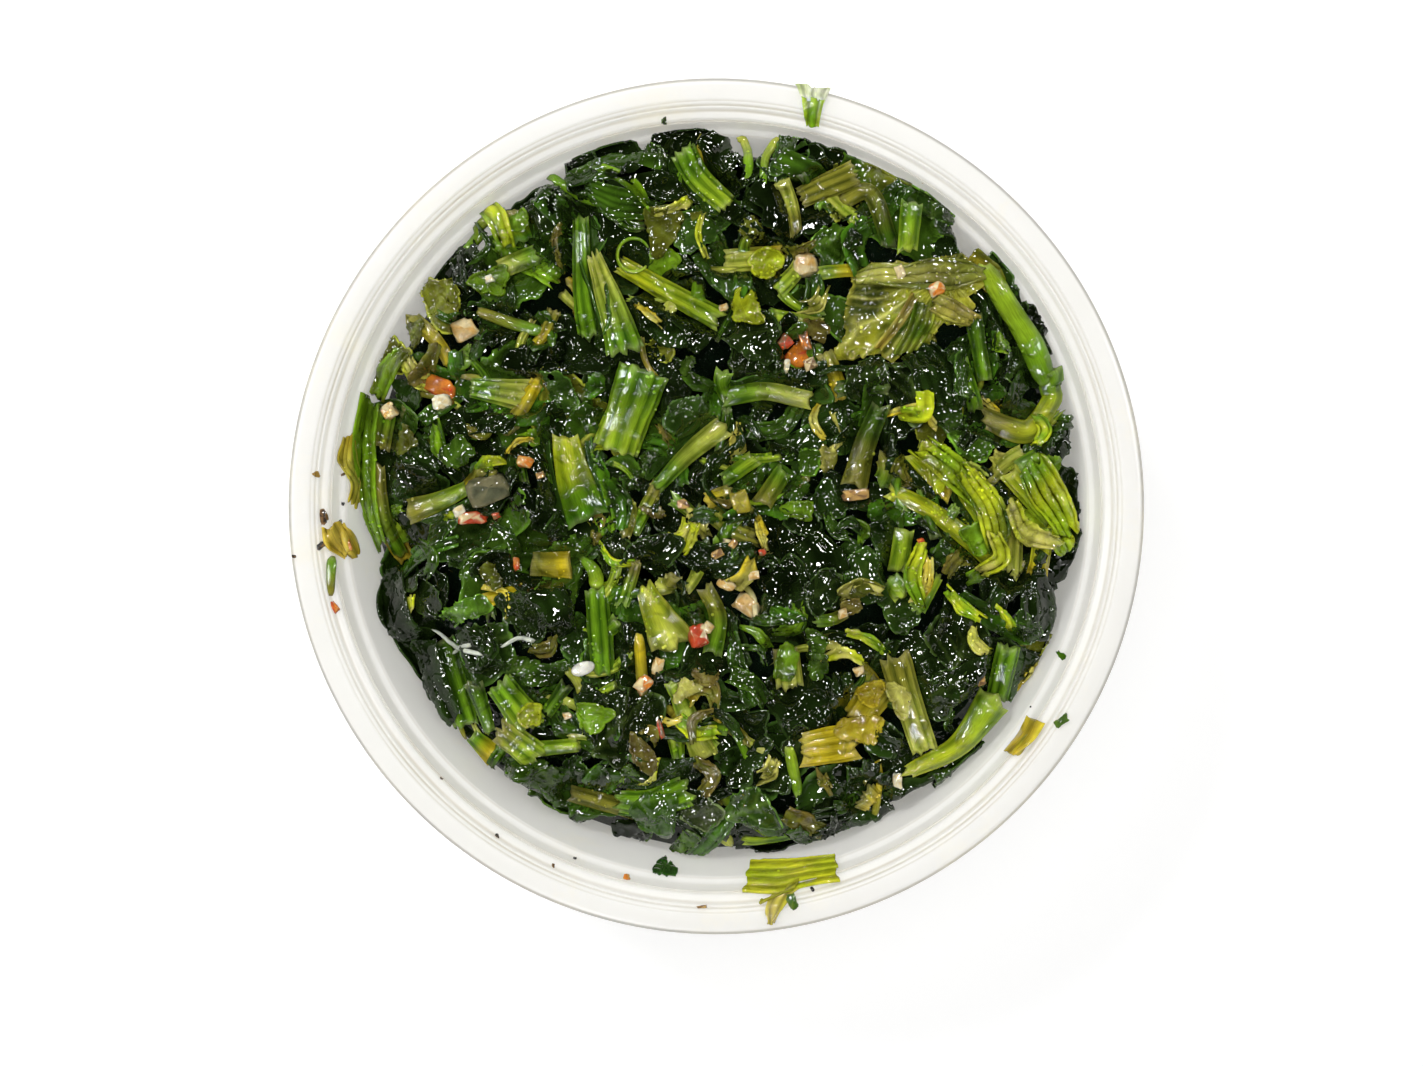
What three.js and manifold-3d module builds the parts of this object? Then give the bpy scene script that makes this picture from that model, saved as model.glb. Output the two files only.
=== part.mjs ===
// A round plastic deli tub filled with chopped, cooked, dressed spinach: the tub, a packed bed of dark
// leaf chops, the pale stalks and leaf pieces that lie on it, and bits of garlic, chilli and mushroom.
// Millimetres, +Z up, origin at the centre of the tub's foot. +Y is the side where the filling stands
// highest.
import * as THREE from "three";
import { mergeVertices } from "three/addons/utils/BufferGeometryUtils.js";
import Module from "manifold-3d";

const wasm = await Module();
wasm.setup();

// Driving dimensions of the tub
const rimRadius = 58.5;
const tubHeight = 45;
const wallThickness = 0.8;
const footRadius = 44;
const floorTop = 1.6;
const shoulderRadius = 51.3;
const shoulderHeight = 39;
const cornerRadius = 44.4;
const cornerHeight = 2.4;
const grooveRadius = 54.1;
const skirtHeight = 40.6;
const tubSides = 44;

// Driving dimensions of the filling
const centreHeight = 39.5;
const bedRadius = 49;
const bedDepth = 1.5;
const seatGap = 0.35;
const wallGap = 0.55;
const bladeThickness = 0.8;
const chopCount = 100;
const chopRadius = 6.4;
const highestPoint = 44.2;

// Hollows in the filling beside the wall: plan position, depth and spread
const hollows = [
  { x: -46, y: -8, depth: 8, spread: 3.6 },
  { x: -42, y: -21, depth: 6, spread: 3.8 },
  { x: -16, y: -45, depth: 3.5, spread: 4.2 },
];

// A seeded stream of numbers from 0 to 1
function randomStream(seed) {
  let state = seed;
  return () => {
    state = (state * 1664525 + 1013904223) % 4294967296;
    return state / 4294967296;
  };
}

// A closed three.js geometry as a solid for joining and cutting, and back
function solidOf(geometry) {
  const bare = geometry.clone();
  bare.deleteAttribute("normal");
  bare.deleteAttribute("uv");
  const merged = mergeVertices(bare, 1e-4);
  return new wasm.Manifold(
    new wasm.Mesh({
      numProp: 3,
      vertProperties: merged.attributes.position.array,
      triVerts: new Uint32Array(merged.index.array),
    }),
  );
}

function geometryOf(solid) {
  const mesh = solid.getMesh();
  const geometry = new THREE.BufferGeometry();
  geometry.setAttribute("position", new THREE.BufferAttribute(mesh.vertProperties, 3));
  geometry.setIndex(new THREE.BufferAttribute(mesh.triVerts, 1));
  geometry.computeVertexNormals();
  return geometry;
}

// The largest body of a solid: cuts can leave loose scraps, which are dropped
function largestBody(solid) {
  const bodies = solid.decompose();
  return bodies.reduce((best, body) => (body.volume() > best.volume() ? body : best));
}

// A closed skin over equal rings of points, with a fan over each end
function loft(rings, startHub, endHub) {
  const sides = rings[0].length;
  const points = [...rings.flat(), startHub, endHub];
  const start = points.length - 2;
  const end = points.length - 1;
  const last = (rings.length - 1) * sides;
  const index = [];
  for (let i = 0; i < rings.length - 1; i++) {
    for (let k = 0; k < sides; k++) {
      const a = i * sides + k;
      const b = i * sides + ((k + 1) % sides);
      index.push(a, b, b + sides, a, b + sides, a + sides);
    }
  }
  for (let k = 0; k < sides; k++) {
    const next = (k + 1) % sides;
    index.push(start, next, k);
    index.push(end, last + k, last + next);
  }
  return new THREE.BufferGeometry().setFromPoints(points).setIndex(index);
}

// Radius of the tub's inner wall at a height
function innerRadius(height) {
  const share = (height - cornerHeight) / (shoulderHeight - cornerHeight);
  const wall = THREE.MathUtils.lerp(cornerRadius, shoulderRadius, Math.max(0, share));
  return height > shoulderHeight + 0.6 ? shoulderRadius + 0.9 : Math.min(wall, shoulderRadius);
}

// Height of the filling's surface: a mound that drops towards the wall, most at the front
function surfaceHeight(x, y) {
  const reach = Math.hypot(x, y) / bedRadius;
  const drop = reach ** 3 * 3.4 + (reach ** 2 * (-5.6 * y - 1.0 * x)) / bedRadius;
  const broadLumps = 0.45 * Math.sin(0.23 * x + 0.8) * Math.cos(0.2 * y - 0.5);
  const smallLumps = 0.3 * Math.sin(0.37 * x - 0.31 * y);
  let sunk = 0;
  for (const hollow of hollows) {
    const away = Math.hypot(x - hollow.x, y - hollow.y) / hollow.spread;
    sunk += hollow.depth * Math.exp((-away * away) / 2);
  }
  return centreHeight - drop + broadLumps + smallLumps - sunk;
}

// A plan position pulled in so that half a piece's width stays clear of the wall
function insideWall(x, y, height, halfWidth) {
  const limit = innerRadius(height) - wallGap - halfWidth;
  const radius = Math.hypot(x, y);
  const scale = radius > limit ? limit / radius : 1;
  return [x * scale, y * scale];
}

// The tub: foot ring, tapered wall, stacking shoulder, lid groove and turned-down rim, turned as one piece
function makeTub() {
  const profile = [
    [0, floorTop - wallThickness],
    [footRadius - 3.4, floorTop - wallThickness],
    [footRadius - 2.6, 0],
    [footRadius, 0],
    [cornerRadius + wallThickness + 0.2, 1.5],
    [shoulderRadius + wallThickness, shoulderHeight - 0.4],
    [shoulderRadius + 1.8, shoulderHeight + 0.3],
    [grooveRadius + 0.1, tubHeight - 2.6],
    [grooveRadius + 1.2, tubHeight - 2],
    [grooveRadius + 1.5, tubHeight - 0.9],
    [rimRadius - wallThickness, tubHeight - 0.9],
    [rimRadius - wallThickness, skirtHeight],
    [rimRadius, skirtHeight],
    [rimRadius, tubHeight - 0.6],
    [rimRadius - 0.6, tubHeight],
    [grooveRadius + 1.4, tubHeight],
    [grooveRadius + 0.7, tubHeight - 0.4],
    [grooveRadius + 0.1, tubHeight - 1.5],
    [grooveRadius - 0.9, tubHeight - 2],
    [shoulderRadius + 0.9, shoulderHeight + 0.7],
    [shoulderRadius, shoulderHeight],
    [cornerRadius, cornerHeight],
    [cornerRadius - 1.1, 1.3],
    [cornerRadius - 1.8, 0.9],
    [cornerRadius - 2.6, 0.9],
    [cornerRadius - 3.4, floorTop],
    [0, floorTop],
  ].map(([radius, height]) => new THREE.Vector2(radius, height));
  return new THREE.LatheGeometry(profile, tubSides).rotateX(Math.PI / 2);
}

const named = {
  tub: { colour: 0xf1efe9, roughness: 0.35 },
  leaf: { colour: 0x16331a, roughness: 0.2 },
  green: { colour: 0x5c8a1c, roughness: 0.25 },
  dark: { colour: 0x24501a, roughness: 0.22 },
  pale: { colour: 0xa3b04a, roughness: 0.28 },
  yellow: { colour: 0xc2a832, roughness: 0.28 },
  garlic: { colour: 0xd9c79a, roughness: 0.4 },
  chilli: { colour: 0xb23a14, roughness: 0.3 },
  mushroom: { colour: 0x6b6a52, roughness: 0.4 },
};

// Stalk pieces: name, colour, plan route, [start width, end width], thickness as a share of the width, level.
// Level 0 lies in the bed, and each level above lies on the one below.
const stalks = [
  ["stalk_centre_ribbed", "green", [[-9.8, 19], [-13.8, 7.8]], [7, 6.6], 0.42, 0],
  ["stalk_fan", "pale", [[-16.5, 34.5], [-14, 27], [-12.2, 21.5]], [2.2, 5.4], 0.42, 1],
  ["stalk_long_west", "green", [[-18.5, 40], [-18.3, 31], [-17.3, 23.5]], [2.4, 3.2], 0.7, 0],
  ["stalk_slant", "pale", [[-13, 33.5], [-7, 30], [0.5, 26]], [2.6, 3.4], 0.6, 0],
  ["stalk_northwest_a", "green", [[-30, 42.5], [-27, 36.5]], [4.2, 4], 0.5, 0],
  ["stalk_northwest_b", "green", [[-30, 32.8], [-24.5, 35]], [2.6, 3], 0.6, 0],
  ["stalk_thin_west", "pale", [[-33.5, 27.5], [-28, 25.5], [-23.5, 24]], [1.6, 1.9], 0.8, 0],
  ["stalk_fan_west", "pale", [[-34, 16.5], [-26.5, 15.5]], [2.6, 4.6], 0.4, 0],
  ["stalk_west_upper", "green", [[-48, 14.5], [-47.6, 8.2]], [3.2, 3.6], 0.55, 0],
  ["stalk_west_lower", "green", [[-47.6, 5.4], [-47, -1], [-45.6, -6.6]], [2.2, 2.2], 0.75, 0],
  ["stalk_sheath_west", "pale", [[-43, -0.6], [-39, 0.8], [-34.6, 2.8]], [3.6, 2], 0.6, 0],
  ["fold_west", "green", [[-20.6, 9.6], [-19.6, 4], [-17.6, -1.6]], [3.6, 6.2], 0.45, 0],
  ["stalk_dark_pair", "dark", [[-16.4, -11.5], [-15.6, -23]], [3.4, 3.6], 0.55, 0],
  ["stalk_flare", "pale", [[-9.8, -11.2], [-7.8, -15], [-5.6, -19]], [2.6, 6.2], 0.42, 0],
  ["stalk_thin_centre", "pale", [[-10.4, -17.5], [-10, -26]], [1.6, 1.7], 0.8, 1],
  ["fold_southwest", "green", [[-30.2, -24.6], [-25.8, -30.4]], [4.2, 4.8], 0.45, 1],
  ["stalk_southwest_a", "green", [[-23.8, -28.8], [-20.8, -24.8]], [1.9, 2.2], 0.7, 0],
  ["stalk_southwest_b", "green", [[-28, -34.2], [-19.2, -33.2]], [2.4, 2], 0.75, 1],
  ["stalk_dark_southwest", "dark", [[-39.5, -19], [-37.4, -25], [-35.4, -31]], [4.4, 3.6], 0.5, 0],
  ["tip_southwest", "yellow", [[-35, -32.6], [-33.6, -37.4]], [2, 3.4], 0.5, 0],
  ["fold_south", "green", [[-14, -41.6], [-9, -41.4], [-3.8, -39.4]], [3, 4.4], 0.55, 1],
  ["stalk_south_olive", "pale", [[-20.6, -40.8], [-12.2, -43]], [2.4, 2.8], 0.55, 0],
  ["stalk_centre_light", "pale", [[1.4, 15.2], [7, 16], [13.2, 14.8]], [2.8, 2.6], 0.6, 0],
  ["stalk_centre_curved", "pale", [[1.2, 11.2], [-3.4, 7.6], [-8.2, 2.6]], [3.4, 1.8], 0.6, 0],
  ["stalk_forked", "pale", [[22.8, 14], [20.8, 8.8], [19.2, 3]], [2.6, 3.8], 0.6, 0],
  ["stalk_round_a", "green", [[1, 3.6], [5.6, 6.8]], [2.3, 2.5], 0.8, 0],
  ["stalk_pale_short", "pale", [[6.4, 0.4], [9.6, 5.2]], [3, 2.4], 0.6, 0],
  ["leaf_yellow_east", "yellow", [[27.6, 7.8], [33.2, 2.4]], [3.4, 4.6], 0.3, 1],
  ["stalk_yellow_long", "yellow", [[23.6, 2.4], [30.6, -1], [38.4, -7.4]], [2.2, 2.8], 0.6, 0],
  ["fold_east_ribbed", "pale", [[41.4, 5.4], [48, -0.6]], [5, 5.6], 0.35, 0],
  ["stalk_east_upright", "pale", [[41.4, -2.4], [41.2, -9]], [2.4, 3], 0.6, 0],
  ["stalk_green_short_a", "green", [[26.2, -3], [25.2, -9]], [2.8, 2.8], 0.65, 0],
  ["stalk_pale_ribbed", "pale", [[9.8, -19.6], [10.4, -24.8]], [3.6, 4], 0.45, 0],
  ["stalk_centre_bowed", "pale", [[-1.4, -11], [0.4, -15.2], [-0.4, -20.4]], [2.4, 2.8], 0.6, 0],
  ["leaf_yellow_south", "yellow", [[23.4, -24], [19.4, -30]], [5.2, 4.4], 0.28, 0],
  ["leaf_yellow_ribbed", "yellow", [[12.4, -33.6], [19, -32.6]], [4.8, 5.2], 0.28, 1],
  ["stalk_glassy", "pale", [[24.8, -20.6], [29.2, -34]], [4.2, 3.6], 0.45, 1],
  ["stalk_fat_bowed", "green", [[26.8, -37], [34.6, -34], [38.8, -26.6]], [2.8, 3.8], 0.8, 1],
  ["stalk_southeast", "green", [[40.8, -19.4], [42, -28.6]], [3.4, 3.2], 0.6, 0],
  ["stalk_north_long", "green", [[-4.4, 49], [-2, 45], [1.8, 41.4]], [3.8, 3.2], 0.65, 0],
  ["stalk_north_ribbed", "pale", [[11.8, 42.4], [19.6, 46.4]], [3, 3.8], 0.55, 0],
  ["stalk_north_loop", "pale", [[17.6, 42], [21.4, 43], [24.2, 36]], [2.4, 2.6], 0.6, 0],
  ["stalk_north_short", "green", [[27, 41.6], [26.4, 35]], [3, 2.8], 0.6, 1],
  ["leaf_yellow_north", "yellow", [[1.8, 34], [9, 34.4]], [3, 3.6], 0.35, 0],
  ["stalk_east_bowed", "green", [[37, 33.2], [41.4, 30.2], [44.6, 24], [46.6, 17.4]], [3, 3.8], 0.8, 0],
  ["stalk_east_dark", "dark", [[35.6, 26.4], [37.2, 17.4]], [2.6, 2.1], 0.85, 0],
  ["stalk_east_looped", "pale", [[46.2, 13.4], [42.8, 10.4], [37, 12.4]], [3.6, 3], 0.5, 0],
  ["block_centre_west", "yellow", [[-25.6, -7.9], [-20, -7.9]], [3.4, 3.8], 0.5, 0],
  ["leaf_frilly_east", "pale", [[34.4, 3.8], [37.6, -0.8], [39.6, -5]], [4.2, 4.6], 0.4, 0],
  ["bulb_south", "yellow", [[20.8, -40.6], [23.6, -44.6]], [4.4, 3.6], 0.55, 0],
];

// Bits: name, colour, plan position, size along X, Y and Z, level
const bits = [
  ["garlic_northwest", "garlic", [-34.8, 24.8], [3.4, 2.9, 1.8], 0],
  ["garlic_centre", "garlic", [4.2, -13.6], [3.6, 2.6, 1.8], 0],
  ["garlic_northeast", "garlic", [12.6, 33.2], [3, 2.8, 2.4], 0],
  ["chilli_west", "chilli", [-38.2, 16.6], [4.4, 2.6, 1.4], 0],
  ["chilli_centre", "chilli", [11.4, 21], [3.4, 3, 1.6], 0],
  ["mushroom_slice", "mushroom", [-31.2, 2.6], [5.4, 4, 1.8], 1],
];

// The large translucent pale leaf at the back right: its middle, its torn and waved outline, and its level
const paleLeaf = {
  middle: [26.5, 27.6],
  outline: [
    [16.2, 20.4], [17.8, 23.6], [18.5, 28.5], [19.6, 32.7], [23.3, 33.5], [27.5, 33.1], [31, 34.1],
    [34.4, 34.2], [36.5, 33.1], [37.2, 30.5], [34.8, 28.9], [36.2, 26], [34.4, 25], [31.6, 25.2],
    [29.8, 23.8], [30.3, 22], [28.2, 22.7], [26.1, 21.5], [24.4, 19.8], [23, 21.4], [19.9, 20.6],
  ],
  edgePoints: 44,
  edgeWave: [-0.35, 0.55],
  crownHeight: 0.9,
  crownSpread: 3.6,
  thickness: 1,
  level: 1,
};

// The leaf piece at the front that lies over the shoulder: its bottom face as radius and height up the tub's
// inner side, the turn about the axis in degrees where each row starts and ends, and how far its top face is
// above its bottom face
const ledgeLeaf = {
  rows: [
    { radius: 49.3, height: 32, start: -82, end: -73, rise: 0.15 },
    { radius: 50.1, height: 36.2, start: -84, end: -71, rise: 0.15 },
    { radius: 50.6, height: 38.9, start: -84.8, end: -70.6, rise: 0.15 },
    { radius: 51.5, height: 40.5, start: -85, end: -71, rise: 0.15 },
    { radius: 52.5, height: 43.3, start: -85.4, end: -76, rise: 0.6 },
    { radius: 53.5, height: 44.1, start: -84.4, end: -79, rise: 0.6 },
  ],
  columns: 7,
  ribHeight: 0.25,
};

const lowestLevelSink = 0.7;
const levelRise = 1.9;

// Rings round a stalk's route, each point pushed out by grow, with ribs along it if ribbed
function stalkRings([, , route, widths, flatness, level], grow, ribbed) {
  const thickness = Math.max(widths[0], widths[1]) * flatness;
  const lift = (x, y) => surfaceHeight(x, y) - lowestLevelSink + thickness / 2 + level * levelRise;
  const placed = route.map(([x, y]) => {
    const [px, py] = insideWall(x, y, lift(x, y) - thickness / 2, Math.max(...widths) / 2);
    return new THREE.Vector3(px, py, Math.min(lift(px, py), highestPoint - thickness / 2));
  });
  const curve = new THREE.CatmullRomCurve3(placed, false, "centripetal");
  const bent = route.length > 2;
  const wide = widths[0] + widths[1] > 8;
  const steps = ribbed ? (bent ? 5 : 3) : bent ? 3 : 1;
  const sides = ribbed ? (wide ? 12 : 8) : 6;
  const rings = [];
  const hubs = [];
  for (let i = 0; i <= steps; i++) {
    const share = i / steps;
    const centre = curve.getPointAt(share);
    const along = curve.getTangentAt(share);
    const across = new THREE.Vector3(-along.y, along.x, 0).normalize();
    const up = new THREE.Vector3().crossVectors(along, across).normalize();
    const overrun = i === 0 ? -grow : i === steps ? grow : 0;
    centre.addScaledVector(along, overrun);
    const half = THREE.MathUtils.lerp(widths[0], widths[1], share) / 2;
    const ring = [];
    for (let k = 0; k < sides; k++) {
      const angle = (k / sides) * Math.PI * 2;
      const rib = ribbed && k % 2 ? 0.84 : 1;
      const point = centre.clone();
      point.addScaledVector(across, Math.cos(angle) * (half * rib + grow));
      point.addScaledVector(up, Math.sin(angle) * (half * flatness * rib + grow));
      ring.push(point);
    }
    rings.push(ring);
    hubs.push(centre.clone());
  }
  const dent = grow > 0 ? 0 : 0.35;
  hubs[0].addScaledVector(curve.getTangentAt(0), dent);
  hubs[steps].addScaledVector(curve.getTangentAt(1), -dent);
  return loft(rings, hubs[0], hubs[steps]);
}

// A lump of garlic, chilli or mushroom: a 20-sided ball, stretched and knocked out of round
function bitGeometry([name, , [x, y], size, level], grow) {
  const random = randomStream(name.length * 977 + 11);
  const ball = new THREE.IcosahedronGeometry(0.5, 0);
  ball.deleteAttribute("normal");
  ball.deleteAttribute("uv");
  const merged = mergeVertices(ball, 1e-4);
  const spots = merged.attributes.position;
  for (let i = 0; i < spots.count; i++) {
    const knock = 0.82 + 0.36 * random();
    spots.setXYZ(
      i,
      spots.getX(i) * (size[0] * knock * 1.1 + 2 * grow),
      spots.getY(i) * (size[1] * knock * 1.1 + 2 * grow),
      spots.getZ(i) * (size[2] * 1.15 + 2 * grow),
    );
  }
  const height = surfaceHeight(x, y) - lowestLevelSink + size[2] / 2 + level * levelRise;
  return merged.rotateZ(random() * Math.PI).translate(x, y, height);
}

// A leaf blade: a hub, one or two rings of points on a wavy outline, the same triangles on both faces
function bladeSolid(shape) {
  const { outline, ringShares, toWorld, thickness } = shape;
  const top = [toWorld(0, 0, 0)];
  for (const share of ringShares) {
    for (const [x, y, wave] of outline) {
      top.push(toWorld(x * share, y * share, wave * share * share));
    }
  }
  const count = top.length;
  const bottom = top.map((point) => point.clone().setZ(point.z - thickness));
  const sides = outline.length;
  const rim = 1 + (ringShares.length - 1) * sides;
  const index = [];
  const face = (a, b, c) => {
    index.push(a, b, c);
    index.push(a + count, c + count, b + count);
  };
  for (let k = 0; k < sides; k++) {
    const next = (k + 1) % sides;
    face(0, 1 + k, 1 + next);
    for (let ring = 1; ring < ringShares.length; ring++) {
      const a = 1 + (ring - 1) * sides + k;
      const b = 1 + (ring - 1) * sides + next;
      face(a, a + sides, b + sides);
      face(a, b + sides, b);
    }
    index.push(rim + k, rim + k + count, rim + next + count);
    index.push(rim + k, rim + next + count, rim + next);
  }
  return new THREE.BufferGeometry().setFromPoints([...top, ...bottom]).setIndex(index);
}

// One dark leaf chop: an uneven cut outline, tilted, its low side sunk in the bed
function chopGeometry(order, random) {
  const goldenAngle = Math.PI * (3 - Math.sqrt(5));
  const spread = (bedRadius - 1.5) * Math.sqrt((order + 0.5) / chopCount);
  const turn = order * goldenAngle + (random() - 0.5) * 0.2;
  const centreX = spread * Math.cos(turn);
  const centreY = spread * Math.sin(turn);
  const size = chopRadius * (0.8 + 0.5 * random());
  const stretch = 0.72 + 0.4 * random();
  const heading = random() * Math.PI * 2;
  const tiltHeading = spread > bedRadius * 0.86 ? turn + (random() - 0.5) : random() * Math.PI * 2;
  const tilt = 0.22 + 0.26 * random();
  const corners = 6 + Math.floor(random() * 2);
  const outline = [];
  for (let k = 0; k < corners; k++) {
    const angle = ((k + 0.5 * (random() - 0.5)) / corners) * Math.PI * 2;
    const reach = size * (0.78 + 0.34 * random());
    const wave = (k % 2 ? 0.7 : -0.5) * (0.6 + 0.8 * random());
    outline.push([reach * Math.cos(angle), reach * Math.sin(angle) * stretch, wave]);
  }
  const toWorld = (u, v, wave) => {
    const dx = u * Math.cos(heading) - v * Math.sin(heading);
    const dy = u * Math.sin(heading) + v * Math.cos(heading);
    const rise = (dx * Math.cos(tiltHeading) + dy * Math.sin(tiltHeading)) * Math.tan(tilt);
    const bed = surfaceHeight(centreX + dx, centreY + dy);
    const height = Math.min(bed - 1.3 + rise + wave, stalkUnderside(centreX + dx, centreY + dy));
    const [x, y] = insideWall(centreX + dx, centreY + dy, height - bladeThickness, 0);
    return new THREE.Vector3(x, y, Math.min(height, highestPoint - 1.2));
  };
  return bladeSolid({ outline, ringShares: [1], toWorld, thickness: bladeThickness });
}

// Height that keeps a leaf chop under any stalk that crosses its plan position
function stalkUnderside(x, y) {
  const spot = new THREE.Vector3(x, y, 0);
  const near = new THREE.Vector3();
  let limit = Infinity;
  for (const [, , route, widths, , level] of stalks) {
    for (let i = 0; i < route.length - 1; i++) {
      const from = new THREE.Vector3(...route[i], 0);
      const to = new THREE.Vector3(...route[i + 1], 0);
      new THREE.Line3(from, to).closestPointToPoint(spot, true, near);
      if (near.distanceTo(spot) < Math.max(...widths) / 2 + 0.9) {
        limit = Math.min(limit, surfaceHeight(x, y) - lowestLevelSink - 0.7 + level * levelRise);
      }
    }
  }
  return limit;
}

// The packed bed under the chops: a closed solid from the tub's floor to a little under the surface
function bedCore() {
  const around = 32;
  const shares = [0.16, 0.34, 0.52, 0.7, 0.86, 1];
  const clear = wallGap;
  const rings = [];
  for (const share of shares) {
    const ring = [];
    for (let k = 0; k < around; k++) {
      const angle = (k / around) * Math.PI * 2;
      const rough = surfaceHeight(bedRadius * Math.cos(angle), bedRadius * Math.sin(angle)) - bedDepth;
      const reach = (innerRadius(Math.min(rough, shoulderHeight)) - clear) * share;
      const x = reach * Math.cos(angle);
      const y = reach * Math.sin(angle);
      ring.push(new THREE.Vector3(x, y, surfaceHeight(x, y) - bedDepth));
    }
    rings.push(ring);
  }
  for (const [radius, height] of [
    [cornerRadius - clear, cornerHeight + 0.8],
    [cornerRadius - 3.6, floorTop + 0.4],
  ]) {
    const ring = [];
    for (let k = 0; k < around; k++) {
      const angle = (k / around) * Math.PI * 2;
      ring.push(new THREE.Vector3(radius * Math.cos(angle), radius * Math.sin(angle), height));
    }
    rings.push(ring);
  }
  const summit = new THREE.Vector3(0, 0, surfaceHeight(0, 0) - bedDepth);
  return loft(rings.reverse(), new THREE.Vector3(0, 0, floorTop + 0.4), summit);
}

// The pale leaf: a broad blade, crowned along its middle, with a waved edge
function paleLeafGeometry(grow) {
  const { middle, outline, edgePoints, edgeWave, crownHeight, crownSpread, thickness, level } = paleLeaf;
  const corners = outline.map(([x, y]) => new THREE.Vector3(x - middle[0], y - middle[1], 0));
  const curve = new THREE.CatmullRomCurve3(corners, true, "centripetal");
  const edge = [];
  for (let k = 0; k < edgePoints; k++) {
    const point = curve.getPointAt(1 - k / edgePoints);
    point.multiplyScalar(1 + grow / point.length());
    edge.push([point.x, point.y, edgeWave[k % 2]]);
  }
  const toWorld = (u, v, wave) => {
    const x = middle[0] + u;
    const y = middle[1] + v;
    const crown = crownHeight * Math.cos(v / crownSpread);
    const height = surfaceHeight(x, y) + 0.7 + (level - 1) * levelRise + crown + wave + grow;
    return new THREE.Vector3(x, y, height);
  };
  return bladeSolid({ outline: edge, ringShares: [0.5, 1], toWorld, thickness: thickness + 2 * grow });
}

// The ledge leaf: rows of points up the tub's inner side, closed by the same rows one blade further in
function ledgeLeafGeometry() {
  const { rows, columns, ribHeight } = ledgeLeaf;
  const under = [];
  const over = [];
  for (const { radius, height, start, end, rise } of rows) {
    for (let k = 0; k < columns; k++) {
      const turn = THREE.MathUtils.degToRad(THREE.MathUtils.lerp(start, end, k / (columns - 1)));
      const rib = k % 2 ? ribHeight : 0;
      const inner = radius - bladeThickness - rib;
      under.push(new THREE.Vector3(radius * Math.cos(turn), radius * Math.sin(turn), height));
      over.push(new THREE.Vector3(inner * Math.cos(turn), inner * Math.sin(turn), height + rise));
    }
  }
  const count = under.length;
  const index = [];
  const face = (a, b, c) => {
    index.push(a, b, c);
    index.push(a + count, c + count, b + count);
  };
  const last = (rows.length - 1) * columns;
  const edge = (a, b) => index.push(a, a + count, b + count, a, b + count, b);
  for (let row = 0; row < rows.length - 1; row++) {
    for (let k = 0; k < columns - 1; k++) {
      const a = row * columns + k;
      face(a, a + 1, a + columns);
      face(a + 1, a + columns + 1, a + columns);
    }
    edge((row + 1) * columns, row * columns);
    edge(row * columns + columns - 1, (row + 1) * columns + columns - 1);
  }
  for (let k = 0; k < columns - 1; k++) {
    edge(k, k + 1);
    edge(last + k + 1, last + k);
  }
  return new THREE.BufferGeometry().setFromPoints([...under, ...over]).setIndex(index);
}

// Pieces in the order they were laid: each later one presses a seat into those under it
const pieces = [
  ...stalks.map((stalk) => ({
    name: stalk[0],
    colour: stalk[1],
    level: stalk[5],
    solid: solidOf(stalkRings(stalk, 0, true)),
    seat: solidOf(stalkRings(stalk, seatGap, false)),
  })),
  ...bits.map((bit) => ({
    name: bit[0],
    colour: bit[1],
    level: bit[4],
    solid: solidOf(bitGeometry(bit, 0)),
    seat: solidOf(bitGeometry(bit, seatGap)),
  })),
  {
    name: "leaf_pale_large",
    colour: "pale",
    level: paleLeaf.level,
    solid: solidOf(paleLeafGeometry(0)),
    seat: solidOf(paleLeafGeometry(seatGap)),
  },
].sort((a, b) => a.level - b.level);

pieces.forEach((piece, order) => {
  for (const later of pieces.slice(order + 1)) {
    piece.solid = piece.solid.subtract(later.seat);
  }
  piece.solid = largestBody(piece.solid);
});

// The bed of leaf chops: the core and every chop joined, with a seat for each piece that lies in it
const random = randomStream(20263);
const chops = Array.from({ length: chopCount }, (_, order) => solidOf(chopGeometry(order, random)));
const joinedLeaves = wasm.Manifold.union([solidOf(bedCore()), ...chops]);
const leaves = largestBody(wasm.Manifold.difference([joinedLeaves, ...pieces.map((piece) => piece.seat)]));

// The object as a scene graph, one named mesh for each piece
function meshOf(name, colourName, geometry) {
  const { colour, roughness } = named[colourName];
  const material = new THREE.MeshStandardMaterial({ color: colour, roughness, metalness: 0 });
  const mesh = new THREE.Mesh(geometry, material);
  mesh.name = name;
  return mesh;
}

const tubOfSpinach = new THREE.Group();
tubOfSpinach.add(meshOf("tub", "tub", makeTub()));
tubOfSpinach.add(meshOf("leaf_chops", "leaf", geometryOf(leaves)));
tubOfSpinach.add(meshOf("leaf_on_ledge", "green", ledgeLeafGeometry()));
for (const { name, colour, solid } of pieces) {
  tubOfSpinach.add(meshOf(name, colour, geometryOf(solid)));
}

export default tubOfSpinach;
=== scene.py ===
"""Looks of a round plastic tub filled with chopped, cooked, dressed spinach.

Lengths in the making are millimetres and are turned to metres when a mesh is made.
The filling is laid down in order, as it fell: crumpled leaf chops, then stalks and folded
leaf pieces, then small bits. A height map keeps each new piece on top of those below it.
The last section calls the functions in that order.
"""

import math

import bpy
import numpy as np
from mathutils import Matrix, Vector


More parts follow.
